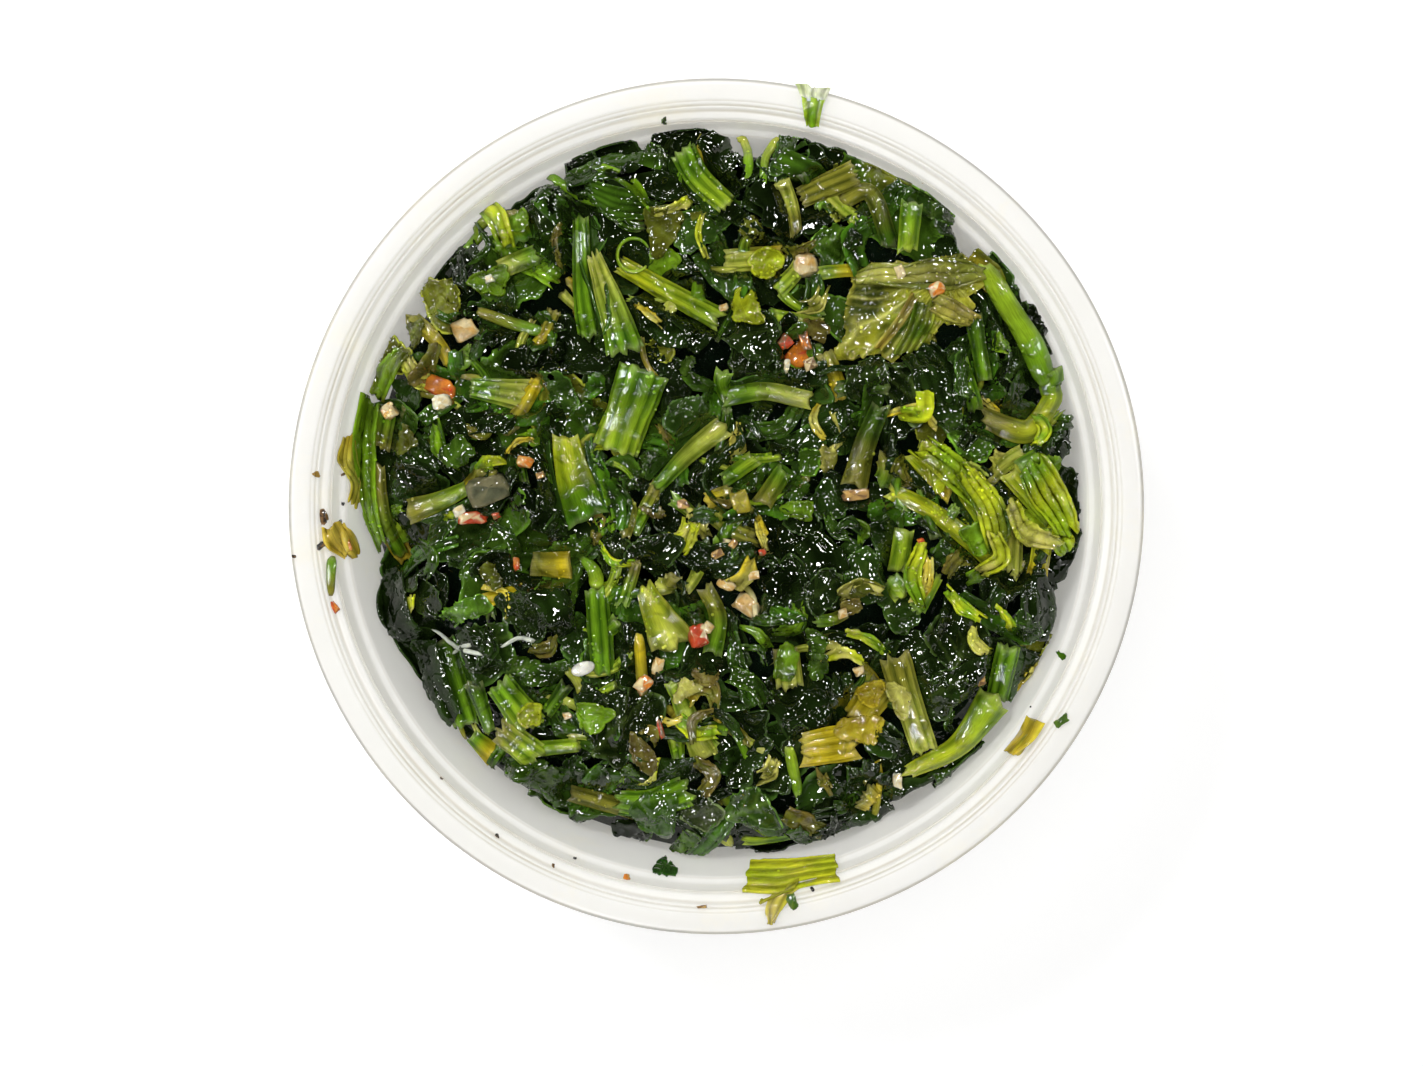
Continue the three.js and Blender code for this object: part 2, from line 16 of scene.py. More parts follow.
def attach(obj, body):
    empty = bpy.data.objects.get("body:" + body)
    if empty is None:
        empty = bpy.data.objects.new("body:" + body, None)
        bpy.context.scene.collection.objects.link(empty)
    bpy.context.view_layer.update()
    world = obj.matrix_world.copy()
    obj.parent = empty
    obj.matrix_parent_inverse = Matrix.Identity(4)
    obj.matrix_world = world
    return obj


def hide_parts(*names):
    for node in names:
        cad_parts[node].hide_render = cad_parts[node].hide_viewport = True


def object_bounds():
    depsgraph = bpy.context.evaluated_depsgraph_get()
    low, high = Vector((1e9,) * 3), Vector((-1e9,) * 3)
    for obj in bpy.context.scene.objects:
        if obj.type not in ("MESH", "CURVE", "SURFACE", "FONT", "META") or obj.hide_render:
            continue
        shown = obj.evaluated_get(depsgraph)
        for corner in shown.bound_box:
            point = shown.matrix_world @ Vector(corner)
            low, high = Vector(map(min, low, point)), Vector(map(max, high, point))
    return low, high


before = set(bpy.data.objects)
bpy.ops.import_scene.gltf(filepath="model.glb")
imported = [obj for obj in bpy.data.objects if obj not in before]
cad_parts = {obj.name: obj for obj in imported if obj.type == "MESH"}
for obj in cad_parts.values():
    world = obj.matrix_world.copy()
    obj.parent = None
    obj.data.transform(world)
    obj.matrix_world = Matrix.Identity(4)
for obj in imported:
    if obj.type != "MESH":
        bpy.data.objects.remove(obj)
cad_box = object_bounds()

MM = 0.001

# Reach and height of the tub, from the frame
RIM_RADIUS = round(cad_box[1][0] / MM, 1)
TUB_HEIGHT = round(cad_box[1][2] / MM, 1)

# The rest of the tub, as in the part's source
WALL = 0.8
FOOT_RADIUS = 44.0
FLOOR_TOP = 1.6
SHOULDER_RADIUS = 51.3
SHOULDER_HEIGHT = 39.0
CORNER_RADIUS = 44.4
CORNER_HEIGHT = 2.4
GROOVE_RADIUS = 54.1
SKIRT_HEIGHT = 40.6
# The inside steps out above the shoulder, over this height and by this much
STEP_HEIGHT = 0.6
STEP_OUT = 0.9

# Filling, as in the part's source
CENTRE_HEIGHT = 39.5
BED_RADIUS = 49.0
HIGHEST_POINT = 44.2
LOWEST_LEVEL_SINK = 0.7
LEVEL_RISE = 1.9
WALL_GAP = 0.55
EDGE_DROP = 3.4
TILT_ACROSS = 1.0
TILT_TO_BACK = 5.6
BROAD_LUMP = 0.45
SMALL_LUMP = 0.3

# Hollows in the filling beside the wall: plan position, depth and spread
HOLLOWS = [(-46, -8, 8, 3.6), (-42, -21, 6, 3.8), (-16, -45, 3.5, 4.2)]

rng = np.random.default_rng(20263)


# Smooth random fields


class Field:
    """Smooth noise from -1 to 1 over a plane, the same for the same seed."""

    def __init__(self, seed):
        self.grid = np.random.default_rng(seed).uniform(-1.0, 1.0, (128, 128))

    def __call__(self, x, y):
        x, y = np.broadcast_arrays(np.asarray(x, float), np.asarray(y, float))
        column, row = np.floor(x).astype(int), np.floor(y).astype(int)
        fx, fy = x - column, y - row
        sx, sy = fx * fx * (3 - 2 * fx), fy * fy * (3 - 2 * fy)
        g = self.grid
        a, b = g[column & 127, row & 127], g[(column + 1) & 127, row & 127]
        c, d = g[column & 127, (row + 1) & 127], g[(column + 1) & 127, (row + 1) & 127]
        return (a * (1 - sx) + b * sx) * (1 - sy) + (c * (1 - sx) + d * sx) * sy


wrinkle = Field(5)
ripple = Field(9)


def mix(a, b, share):
    """Between a and b, for numbers or colours."""
    share = np.asarray(share, float)
    a, b = np.asarray(a, float), np.asarray(b, float)
    if (a.ndim or b.ndim) and share.ndim:
        share = share[..., None]
    return a * (1 - share) + b * share


def unit(vectors):
    """The vectors at length one."""
    return vectors / np.maximum(np.linalg.norm(vectors, axis=-1, keepdims=True), 1e-9)


def inner_radius(z):
    """Radius of the inside of the tub at a height."""
    share = np.clip((z - CORNER_HEIGHT) / (SHOULDER_HEIGHT - CORNER_HEIGHT), 0, 1)
    wall = CORNER_RADIUS + (SHOULDER_RADIUS - CORNER_RADIUS) * share
    return np.where(z > SHOULDER_HEIGHT + STEP_HEIGHT, SHOULDER_RADIUS + STEP_OUT, wall)


def surface_height(x, y):
    """Height of the filling in the part's source: higher at the back, with lumps and hollows."""
    reach = np.hypot(x, y) / BED_RADIUS
    drop = reach**3 * EDGE_DROP + (reach**2 * (-TILT_TO_BACK * y - TILT_ACROSS * x)) / BED_RADIUS
    broad_lumps = BROAD_LUMP * np.sin(0.23 * x + 0.8) * np.cos(0.2 * y - 0.5)
    small_lumps = SMALL_LUMP * np.sin(0.37 * x - 0.31 * y)
    sunk = 0
    for hollow_x, hollow_y, depth, spread in HOLLOWS:
        away = np.hypot(x - hollow_x, y - hollow_y) / spread
        sunk = sunk + depth * np.exp(-away * away / 2)
    return CENTRE_HEIGHT - drop + broad_lumps + small_lumps - sunk


# Mesh making


class Batch:
    """Points, quads, colours and flat coordinates gathered from many shapes into one mesh."""

    def __init__(self):
        self.points, self.quads, self.tints, self.flats = [], [], [], []
        self.count = 0

    def add(self, points, quads, tints, flats):
        """Adds one shape."""
        self.points.append(points)
        self.quads.append(quads + self.count)
        self.tints.append(tints)
        self.flats.append(flats)
        self.count += len(points)

    def build(self, name, material):
        """Makes the mesh and its object."""
        points = np.concatenate(self.points) * MM
        quads = np.concatenate(self.quads)
        tints = np.concatenate(self.tints)
        flats = np.concatenate(self.flats)
        mesh = bpy.data.meshes.new(name)
        mesh.vertices.add(len(points))
        mesh.vertices.foreach_set("co", points.astype(np.float32).ravel())
        mesh.loops.add(quads.size)
        mesh.loops.foreach_set("vertex_index", quads.astype(np.int32).ravel())
        mesh.polygons.add(len(quads))
        mesh.polygons.foreach_set("loop_start", np.arange(0, quads.size, 4, dtype=np.int32))
        mesh.polygons.foreach_set("loop_total", np.full(len(quads), 4, np.int32))
        mesh.polygons.foreach_set("use_smooth", np.ones(len(quads), bool))
        mesh.update(calc_edges=True)
        mesh.validate()
        tint = mesh.color_attributes.new("tint", "FLOAT_COLOR", "POINT")
        tint.data.foreach_set("color", tints.astype(np.float32).ravel())
        flat = mesh.uv_layers.new(name="flat")
        corners = np.empty(len(mesh.loops), np.int32)
        mesh.loops.foreach_get("vertex_index", corners)
        flat.data.foreach_set("uv", flats[corners].astype(np.float32).ravel())
        piece = bpy.data.objects.new(name, mesh)
        bpy.context.collection.objects.link(piece)
        mesh.materials.append(material)
        return piece


def grid_normals(points):
    """Unit normals of a grid of points, shape (rows, columns, 3)."""
    return unit(np.cross(np.gradient(points, axis=0), np.gradient(points, axis=1)))


def grid_quads(rows, around):
    """Quads between rings of points, each ring closed on itself."""
    number = np.arange(rows * around).reshape(rows, around)
    after = np.roll(number, -1, axis=1)
    return np.stack([number[:-1], after[:-1], after[1:], number[1:]], axis=-1).reshape(-1, 4)


def sheet(batch, points, thickness, tints, flats):
    """A closed thin sheet from a grid of top points."""
    rows, columns, _ = points.shape
    under = points - grid_normals(points) * thickness
    count = rows * columns
    number = np.arange(count).reshape(rows, columns)
    a, b, c, d = number[:-1, :-1], number[1:, :-1], number[1:, 1:], number[:-1, 1:]
    top = np.stack([a, b, c, d], axis=-1).reshape(-1, 4)
    bottom = top[:, ::-1] + count
    rim = np.concatenate([number[:-1, 0], number[-1, :-1], number[:0:-1, -1], number[0, :0:-1]])
    after = np.roll(rim, -1)
    side = np.stack([rim, rim + count, after + count, after], axis=-1)
    both = np.concatenate([points.reshape(-1, 3), under.reshape(-1, 3)])
    quads = np.concatenate([top, bottom, side])
    tints = tints.reshape(-1, 4)
    flats = flats.reshape(-1, 2)
    batch.add(both, quads, np.concatenate([tints, tints]), np.concatenate([flats, flats]))


def closing_quads(first, sides):
    """Quads over the inside of one ring, whose points are numbered from first."""
    ring = first + np.arange(sides)
    return np.array([[ring[k], ring[k + 1], ring[-k - 2], ring[-k - 1]] for k in range(sides // 2 - 1)])


def cap_rings(ring, inward, dent):
    """The two rings of a dented cap inside an end ring: the inner one and the core."""
    centre = ring.mean(0)
    inner = centre + (ring - centre) * 0.72 + inward * dent * 0.6
    core = centre + (ring - centre) * 0.12 + inward * dent
    return inner, core


def tube(batch, rings, tints, flats, dent):
    """A closed body over rings of points (rings, sides, 3), each end closed over a dented cap."""
    sides = rings.shape[1]
    along_first = unit(rings[1].mean(0) - rings[0].mean(0))
    along_last = unit(rings[-1].mean(0) - rings[-2].mean(0))
    inner_first, core_first = cap_rings(rings[0], along_first, dent)
    inner_last, core_last = cap_rings(rings[-1], -along_last, dent)
    every = np.concatenate([[core_first, inner_first], rings, [inner_last, core_last]])
    ends = closing_quads(0, sides)[:, ::-1], closing_quads((len(every) - 1) * sides, sides)
    quads = np.concatenate([grid_quads(len(every), sides), *ends])
    tints = np.concatenate([tints[:1], tints[:1], tints, tints[-1:], tints[-1:]])
    flats = np.concatenate([flats[:1], flats[:1], flats, flats[-1:], flats[-1:]])
    batch.add(every.reshape(-1, 3), quads, tints.reshape(-1, 4), flats.reshape(-1, 2))


# Height map of what has been laid so far, and the ceiling that it stays under for what comes later

CELL = 0.4
HALF = 62.0
SIZE = int(2 * HALF / CELL)
START_DEPTH = 1.6
NO_CEILING = 99.0
axis = (np.arange(SIZE) + 0.5) * CELL - HALF
plan_x, plan_y = np.meshgrid(axis, axis, indexing="ij")
height = surface_height(plan_x, plan_y) - START_DEPTH
ceiling = np.full((SIZE, SIZE), NO_CEILING)

# Places around a point that its smoothed height is the mean of
NEARBY = [(0.0, 0.0)] + [
    (math.cos(k * math.pi / 4) * r, math.sin(k * math.pi / 4) * r) for r in (0.8, 1.7) for k in range(8)
]


def cell_of(x, y):
    """The map's cell at a place, or the nearest one."""
    i = np.clip(((x + HALF) / CELL).astype(int), 0, SIZE - 1)
    j = np.clip(((y + HALF) / CELL).astype(int), 0, SIZE - 1)
    return i, j


def read_height(x, y):
    """Height of what has been laid at a place."""
    return height[cell_of(np.asarray(x, float), np.asarray(y, float))]


def read_ceiling(x, y):
    """Height of the ceiling at a place."""
    return ceiling[cell_of(np.asarray(x, float), np.asarray(y, float))]


def smooth_height(x, y):
    """Mean height of what has been laid about a place."""
    return np.mean([read_height(x + dx, y + dy) for dx, dy in NEARBY], axis=0)


def lay(points, spare=0.0):
    """Raises the height map to these points, half a cell about each."""
    flat = points.reshape(-1, 3)
    near = CELL / 2
    for dx, dy in ((-near, -near), (near, -near), (-near, near), (near, near)):
        np.maximum.at(height, cell_of(flat[:, 0] + dx, flat[:, 1] + dy), flat[:, 2] + spare)


def pull_inside(x, y, limit):
    """Moves places that are past a radius back to it."""
    scale = np.minimum(1, limit / np.maximum(np.hypot(x, y), 1e-6))
    return x * scale, y * scale


# Stalks and folded leaf pieces

# Rib colour and valley colour of each tone, linear: the stalk's own stripes, with painted highlight on the
# ribs and painted shade in the valleys
TONES = {
    "bright": ((0.37, 0.52, 0.026), (0.075, 0.165, 0.005)),
    "lime": ((0.50, 0.54, 0.018), (0.19, 0.26, 0.005)),
    "green": ((0.17, 0.34, 0.013), (0.024, 0.080, 0.003)),
    "glossy": ((0.080, 0.23, 0.008), (0.024, 0.080, 0.003)),
    "dark": ((0.060, 0.135, 0.008), (0.006, 0.019, 0.002)),
    "pale": ((0.54, 0.57, 0.085), (0.19, 0.25, 0.014)),
    "yellow": ((0.64, 0.50, 0.020), (0.33, 0.26, 0.005)),
    "olive": ((0.27, 0.26, 0.030), (0.075, 0.085, 0.008)),
    "white": ((0.74, 0.78, 0.66), (0.50, 0.56, 0.44)),
    "cream": ((0.82, 0.72, 0.41), (0.50, 0.40, 0.15)),
}
# The record's material slot of each kind of stalk
SLOT = {"green": "stalk_green", "dark": "stalk_dark", "pale": "stalk_pale", "yellow": "leaf_yellow"}


def stalk(name, slot, route, widths, flatness, level, ribs, tones, frays=(0.4, 0.4), wings=(0, 0)):
    """One stalk: its route, end widths, flatness and level are those of the part's source. tones are
    those of its start and end, frays how far its two ends are torn, wings the reach of leaf on its left
    and right."""
    return {
        "name": name,
        "slot": slot,
        "route": route,
        "widths": widths,
        "flatness": flatness,
        "level": level,
        "ribs": ribs,
        "tones": tones,
        "frays": frays,
        "wings": wings,
    }


STALKS = [
    stalk("stalk_centre_ribbed", "green", [(-9.8, 19), (-13.8, 7.8)], (7, 6.6), 0.42, 0, 5,
          ("green", "bright"), (0.3, 0.3)),
    stalk("stalk_fan", "pale", [(-16.5, 34.5), (-14, 27), (-12.2, 21.5)], (2.2, 5.4), 0.42, 1, 4,
          ("pale", "green"), (1.2, 1.0), (0, 1.6)),
    stalk("stalk_long_west", "green", [(-18.5, 40), (-18.3, 31), (-17.3, 23.5)], (2.4, 3.2), 0.7, 0, 3,
          ("green", "green"), (0.6, 1.2), (1.8, 0)),
    stalk("stalk_slant", "pale", [(-13, 33.5), (-7, 30), (0.5, 26)], (2.6, 3.4), 0.6, 0, 3,
          ("lime", "bright"), (0.8, 1.2)),
    stalk("stalk_northwest_a", "green", [(-30, 42.5), (-27, 36.5)], (4.2, 4), 0.5, 0, 2,
          ("lime", "glossy"), (0.8, 0.5), (1.6, 0)),
    stalk("stalk_northwest_b", "green", [(-30, 32.8), (-24.5, 35)], (2.6, 3), 0.6, 0, 2,
          ("pale", "green"), (0.6, 0.6)),
    stalk("stalk_thin_west", "pale", [(-33.5, 27.5), (-28, 25.5), (-23.5, 24)], (1.6, 1.9), 0.8, 0, 1,
          ("olive", "green"), (0.8, 0.4)),
    stalk("stalk_fan_west", "pale", [(-34, 16.5), (-26.5, 15.5)], (2.6, 4.6), 0.4, 0, 4,
          ("green", "pale"), (0.5, 1.8)),
    stalk("stalk_west_upper", "green", [(-48, 14.5), (-47.6, 8.2)], (3.2, 3.6), 0.55, 0, 3,
          ("green", "olive"), (0.8, 0.5)),
    stalk("stalk_west_lower", "green", [(-47.6, 5.4), (-47, -1), (-45.6, -6.6)], (2.2, 2.2), 0.75, 0, 2,
          ("olive", "green"), (1.0, 0.5)),
    stalk("stalk_sheath_west", "pale", [(-43, -0.6), (-39, 0.8), (-34.6, 2.8)], (3.6, 2), 0.6, 0, 2,
          ("olive", "bright"), (0.7, 0.3), (0, 1.8)),
    stalk("fold_west", "green", [(-20.6, 9.6), (-19.6, 4), (-17.6, -1.6)], (3.6, 6.2), 0.45, 0, 2,
          ("lime", "glossy"), (1.4, 1.0), (1.4, 2.0)),
    stalk("stalk_dark_pair", "dark", [(-16.4, -11.5), (-15.6, -23)], (3.4, 3.6), 0.55, 0, 3,
          ("green", "green"), (0.8, 0.8)),
    stalk("stalk_flare", "pale", [(-9.8, -11.2), (-7.8, -15), (-5.6, -19)], (2.6, 6.6), 0.42, 0, 2,
          ("lime", "pale"), (0.8, 1.2)),
    stalk("stalk_thin_centre", "pale", [(-10.4, -17.5), (-10, -26)], (1.6, 1.7), 0.8, 1, 1,
          ("yellow", "olive"), (0.4, 0.4)),
    stalk("fold_southwest", "green", [(-30.2, -24.6), (-25.8, -30.4)], (4.2, 4.8), 0.45, 1, 4,
          ("green", "bright"), (0.7, 1.2), (1.5, 0)),
    stalk("stalk_southwest_a", "green", [(-23.8, -28.8), (-20.8, -24.8)], (1.9, 2.2), 0.7, 0, 2,
          ("green", "dark"), (0.5, 0.5)),
    stalk("stalk_southwest_b", "green", [(-28, -34.2), (-19.2, -33.2)], (2.4, 2), 0.75, 1, 2,
          ("green", "bright"), (0.5, 0.5)),
    stalk("stalk_dark_southwest", "dark", [(-39.5, -19), (-37.4, -25), (-35.4, -31)], (4.4, 3.6), 0.5, 0, 3,
          ("dark", "green"), (0.6, 0.6), (1.6, 1.2)),
    stalk("tip_southwest", "yellow", [(-35, -32.6), (-33.6, -37.4)], (2, 3.4), 0.5, 0, 2,
          ("green", "yellow"), (0.5, 1.6)),
    stalk("fold_south", "green", [(-14, -41.6), (-9, -41.4), (-3.8, -39.4)], (3.2, 4.8), 0.42, 1, 3,
          ("green", "green"), (1.6, 1.4), (1.6, 1.2)),
    stalk("stalk_south_olive", "pale", [(-20.6, -40.8), (-12.2, -43)], (2.4, 2.8), 0.55, 0, 2,
          ("olive", "olive"), (0.6, 0.6)),
    stalk("stalk_centre_light", "pale", [(1.4, 15.2), (7, 16), (13.2, 14.8)], (2.8, 2.6), 0.6, 0, 2,
          ("green", "pale"), (0.8, 0.5), (2.0, 0)),
    stalk("stalk_centre_curved", "pale", [(1.2, 11.2), (-3.4, 7.6), (-8.2, 2.6)], (3.4, 1.8), 0.6, 0, 2,
          ("pale", "green"), (1.2, 0.5), (0, 1.6)),
    stalk("stalk_forked", "pale", [(22.8, 14), (20.8, 8.8), (19.2, 3)], (2.6, 3.8), 0.6, 0, 2,
          ("dark", "olive"), (0.6, 0.9)),
    stalk("stalk_round_a", "green", [(1, 3.6), (5.6, 6.8)], (2.3, 2.5), 0.8, 0, 2,
          ("green", "bright"), (0.4, 0.4)),
    stalk("stalk_pale_short", "pale", [(6.4, 0.4), (9.6, 5.2)], (3, 2.4), 0.6, 0, 2,
          ("olive", "green"), (0.5, 0.5)),
    stalk("leaf_yellow_east", "yellow", [(27.6, 7.8), (33.2, 2.4)], (3.4, 4.6), 0.3, 1, 2,
          ("lime", "yellow"), (0.8, 0.8), (0, 1.0)),
    stalk("stalk_yellow_long", "yellow", [(23.6, 2.4), (30.6, -1), (38.4, -7.4)], (2.2, 2.8), 0.6, 0, 2,
          ("lime", "lime"), (1.8, 1.0)),
    stalk("fold_east_ribbed", "pale", [(41.4, 5.4), (48, -0.6)], (5, 5.6), 0.35, 0, 5,
          ("lime", "bright"), (0.8, 0.8)),
    stalk("stalk_east_upright", "pale", [(41.4, -2.4), (41.2, -9)], (2.4, 3), 0.6, 0, 3,
          ("olive", "pale"), (0.5, 0.8)),
    stalk("stalk_green_short_a", "green", [(26.2, -3), (25.2, -9)], (2.8, 2.8), 0.65, 0, 2,
          ("bright", "bright"), (0.4, 1.2)),
    stalk("stalk_pale_ribbed", "pale", [(9.8, -19.6), (10.4, -24.8)], (3.6, 4), 0.45, 0, 5,
          ("olive", "pale"), (0.4, 0.8)),
    stalk("stalk_centre_bowed", "pale", [(-1.4, -11), (0.4, -15.2), (-0.4, -20.4)], (2.4, 2.8), 0.6, 0, 2,
          ("olive", "green"), (1.0, 0.8)),
    stalk("leaf_yellow_south", "yellow", [(23.4, -24), (19.4, -30)], (5.2, 4.4), 0.28, 0, 3,
          ("olive", "yellow"), (1.2, 1.2)),
    stalk("leaf_yellow_ribbed", "yellow", [(12.4, -33.6), (19, -32.6)], (4.8, 5.2), 0.28, 1, 5,
          ("yellow", "yellow"), (1.0, 1.0)),
    stalk("stalk_glassy", "pale", [(24.8, -20.6), (29.2, -34)], (4.2, 3.6), 0.45, 1, 4,
          ("olive", "pale"), (1.6, 0.8)),
    stalk("stalk_fat_bowed", "green", [(26.8, -37), (34.6, -34), (38.8, -26.6)], (1.9, 5.0), 0.7, 1, 2,
          ("lime", "bright"), (1.2, 0.8)),
    stalk("stalk_southeast", "green", [(40.8, -19.4), (42, -28.6)], (3.4, 3.2), 0.6, 0, 3,
          ("green", "green"), (0.5, 0.5), (1.4, 0)),
    stalk("stalk_north_long", "green", [(-4.4, 49), (-2, 45), (1.8, 41.4)], (3.8, 3.2), 0.65, 0, 3,
          ("green", "bright"), (0.7, 0.5), (0, 1.6)),
    stalk("stalk_north_ribbed", "pale", [(11.8, 42.4), (19.6, 46.4)], (3, 3.8), 0.55, 0, 4,
          ("olive", "olive"), (0.6, 0.6)),
    stalk("stalk_north_loop", "pale", [(17.6, 42), (21.4, 43), (24.2, 36)], (2.4, 2.6), 0.6, 0, 2,
          ("olive", "dark"), (0.6, 0.6)),
    stalk("stalk_north_short", "green", [(27, 41.6), (26.4, 35)], (3, 2.8), 0.6, 1, 2,
          ("green", "bright"), (0.5, 0.8)),
    stalk("leaf_yellow_north", "yellow", [(1.8, 34), (9, 34.4)], (3, 3.6), 0.35, 0, 3,
          ("pale", "yellow"), (1.0, 0.7)),
    stalk("stalk_east_bowed", "green", [(37, 33.2), (41.4, 30.2), (44.6, 24), (46.6, 17.4)], (3, 3.8), 0.8,
          0, 1, ("bright", "green"), (0.8, 0.3)),
    stalk("stalk_east_dark", "dark", [(35.6, 26.4), (37.2, 17.4)], (2.6, 2.1), 0.85, 0, 2,
          ("dark", "green"), (0.4, 0.15)),
    stalk("stalk_east_looped", "pale", [(46.2, 13.4), (42.8, 10.4), (37, 12.4)], (3.6, 3), 0.5, 0, 2,
          ("lime", "olive"), (0.8, 1.4)),
    stalk("block_centre_west", "yellow", [(-25.6, -7.9), (-20, -7.9)], (3.4, 3.8), 0.5, 0, 2,
          ("olive", "yellow"), (0.4, 0.4)),
    stalk("leaf_frilly_east", "pale", [(34.4, 3.8), (37.6, -0.8), (39.6, -5)], (4.2, 4.6), 0.4, 0, 3,
          ("lime", "bright"), (1.4, 1.0), (1.2, 1.2)),
    stalk("bulb_south", "yellow", [(20.8, -40.6), (23.6, -44.6)], (4.4, 3.6), 0.55, 0, 4,
          ("olive", "yellow"), (0.8, 0.6)),
]


def curve_points(controls, count):
    """Points along a smooth curve through the controls, evenly spaced."""
    controls = np.asarray(controls, float)
    if len(controls) == 2:
        return controls[0] + (controls[1] - controls[0]) * np.linspace(0, 1, count)[:, None]
    padded = np.vstack([2 * controls[0] - controls[1], controls, 2 * controls[-1] - controls[-2]])
    dense = []
    for i in range(len(controls) - 1):
        p0, p1, p2, p3 = padded[i : i + 4]
        t = np.linspace(0, 1, 24, endpoint=i == len(controls) - 2)[:, None]
        linear = (p2 - p0) * t
        square = (2 * p0 - 5 * p1 + 4 * p2 - p3) * t**2
        cubic = (3 * p1 - p0 - 3 * p2 + p3) * t**3
        dense.append(0.5 * (2 * p1 + linear + square + cubic))
    dense = np.vstack(dense)
    walked = np.concatenate([[0], np.cumsum(np.linalg.norm(np.diff(dense, axis=0), axis=1))])
    wanted = np.linspace(0, walked[-1], count)
    return np.stack([np.interp(wanted, walked, dense[:, k]) for k in range(dense.shape[1])], axis=1)


def length_of(spine):
    """Length of a line of points."""
    return float(np.linalg.norm(np.diff(spine, axis=0), axis=1).sum())


def spine_directions(spine):
    """Directions along, across and up at each point of a spine."""
    along = unit(np.gradient(spine, axis=0))
    across = unit(np.stack([-along[:, 1], along[:, 0], np.zeros(len(spine))], axis=1))
    return along, across, np.cross(along, across)


def torn_ends(run, length, strand, frays):
    """How far the strands of torn ends are pulled out, and how thin the ends get."""
    pull = np.zeros((len(run), len(strand)))
    thin = np.ones((len(run), 1))
    for fray, from_end, outward in ((frays[0], run, -1), (frays[1], length - run, 1)):
        near = np.clip(1 - from_end / (1.0 + 2.2 * fray), 0, 1)
        pull += outward * fray * near**1.5 * strand[None]
        thin *= 1 - 0.7 * min(1.0, fray / 1.4) * near**2
    return pull, thin


def stalk_tints(share, run, length, lateral, rib, ribs, tones, seed):
    """Tints of a stalk: light crests and darker valleys, partly its own stripes and partly painted highlight
    and painted shade, a tone at each end and cut ends near cream.
    """
    turn_point = np.clip(share * 1.6 - 0.3 + 0.2 * wrinkle(share * length * 0.5 + seed, 0.7), 0, 1)
    first, last = (np.array(TONES[tone]) for tone in tones)
    valley = mix(first[1], last[1], turn_point)[:, None]
    crest = mix(first[0], last[0], turn_point)[:, None]
    streak = np.clip(rib[None] ** 2.1 * (1 + 0.3 * ripple(lateral[None] * ribs + seed, run * 0.25)), 0, 1.2)
    colour = valley + (crest - valley) * streak[..., None]
    colour = colour * (0.9 + 0.22 * wrinkle(run * 0.5 + seed, lateral[None] * 1.5))[..., None]
    near_end = np.minimum(run, length - run) + 0.5 * ripple(lateral[None] * 3 + seed, 0)
    tip = mix(crest, np.array(TONES["cream"][0]), 0.25)
    colour = mix(colour, tip, np.clip(1 - near_end / 0.8, 0, 1) * 0.5)
    return np.concatenate([np.clip(colour, 0, 1), np.zeros(colour.shape[:2] + (1,))], axis=-1)


def stalk_body(spine, widths, flatness, ribs, tones, frays, seed):
    """Ribbed rings along a spine with their tints and flat coordinates. A torn end has strands of
    uneven length and thins out."""
    count = len(spine)
    sides = max(16, 10 * ribs)
    share = np.linspace(0, 1, count)
    length = length_of(spine)
    along, across, up = spine_directions(spine)
    wander = 0.1 * wrinkle(share * length * 0.18 + seed, seed * 2.3)
    spine = spine + across * wander[:, None]
    angle = np.arange(sides) / sides * 2 * math.pi
    lateral = np.cos(angle)
    shifted = angle + 0.1 * np.sin(2 * angle + seed)
    # With one rib the tint follows this too: lighter on top, darker at the sides and under, which is painted
    # shade
    rib = np.abs(np.cos(ribs * shifted)) ** 0.6 if ribs > 1 else 0.6 + 0.4 * np.sin(angle)
    run = share[:, None] * length
    half = np.interp(share, np.linspace(0, 1, len(widths)), widths)[:, None] / 2
    half = half * (1 + 0.06 * wrinkle(run * 0.3 + seed, seed * 1.7))
    if ribs == 1:
        half = half * (1 - 0.45 * np.abs(2 * share[:, None] - 1) ** 6)
    depth = 0.22 if ribs > 1 else 0.06
    fine = 0.03 * ripple(angle[None] * 4 + seed, run * 0.6)
    factor = (1 - depth * (1 - rib))[None] * (1 + fine)
    strand = ripple(lateral * ribs * 1.1 + seed * 3.1, seed) + 0.5 * (rib - 0.6)
    pull, thin = torn_ends(run, length, strand, frays)
    twist = 0.12 * wrinkle(share * length * 0.15 + seed, seed * 0.9)[:, None]
    side = lateral[None] * half * factor
    rise = np.sin(angle)[None] * half * flatness * factor * thin
    turned_side = side * np.cos(twist) - rise * np.sin(twist)
    turned_rise = side * np.sin(twist) + rise * np.cos(twist)
    rings = (
        spine[:, None]
        + across[:, None] * turned_side[..., None]
        + up[:, None] * turned_rise[..., None]
        + along[:, None] * pull[..., None]
    )
    tints = stalk_tints(share, run, length, lateral, rib, ribs, tones, seed)
    flat_across = np.broadcast_to(angle[None] * float(half.mean()), (count, sides))
    flats = np.stack([flat_across, np.broadcast_to(run, (count, sides))], axis=-1) + seed * 3.1
    return rings, tints, flats


def stalk_spine(entry):
    """The spine of a stalk as the part's source places it."""
    widths, level = entry["widths"], entry["level"]
    thickness = max(widths) * entry["flatness"]
    controls = []
    for x, y in entry["route"]:
        z = float(surface_height(x, y)) - LOWEST_LEVEL_SINK + thickness / 2 + level * LEVEL_RISE
        limit = float(inner_radius(z - thickness / 2)) - WALL_GAP - max(widths) / 2
        radius = math.hypot(x, y)
        scale = limit / radius if radius > limit else 1
        px, py = x * scale, y * scale
        z = float(surface_height(px, py)) - LOWEST_LEVEL_SINK + thickness / 2 + level * LEVEL_RISE
        controls.append((px, py, min(z, HIGHEST_POINT - thickness / 2)))
    length = length_of(np.array(controls))
    return curve_points(controls, max(9, int(length / 0.5)))


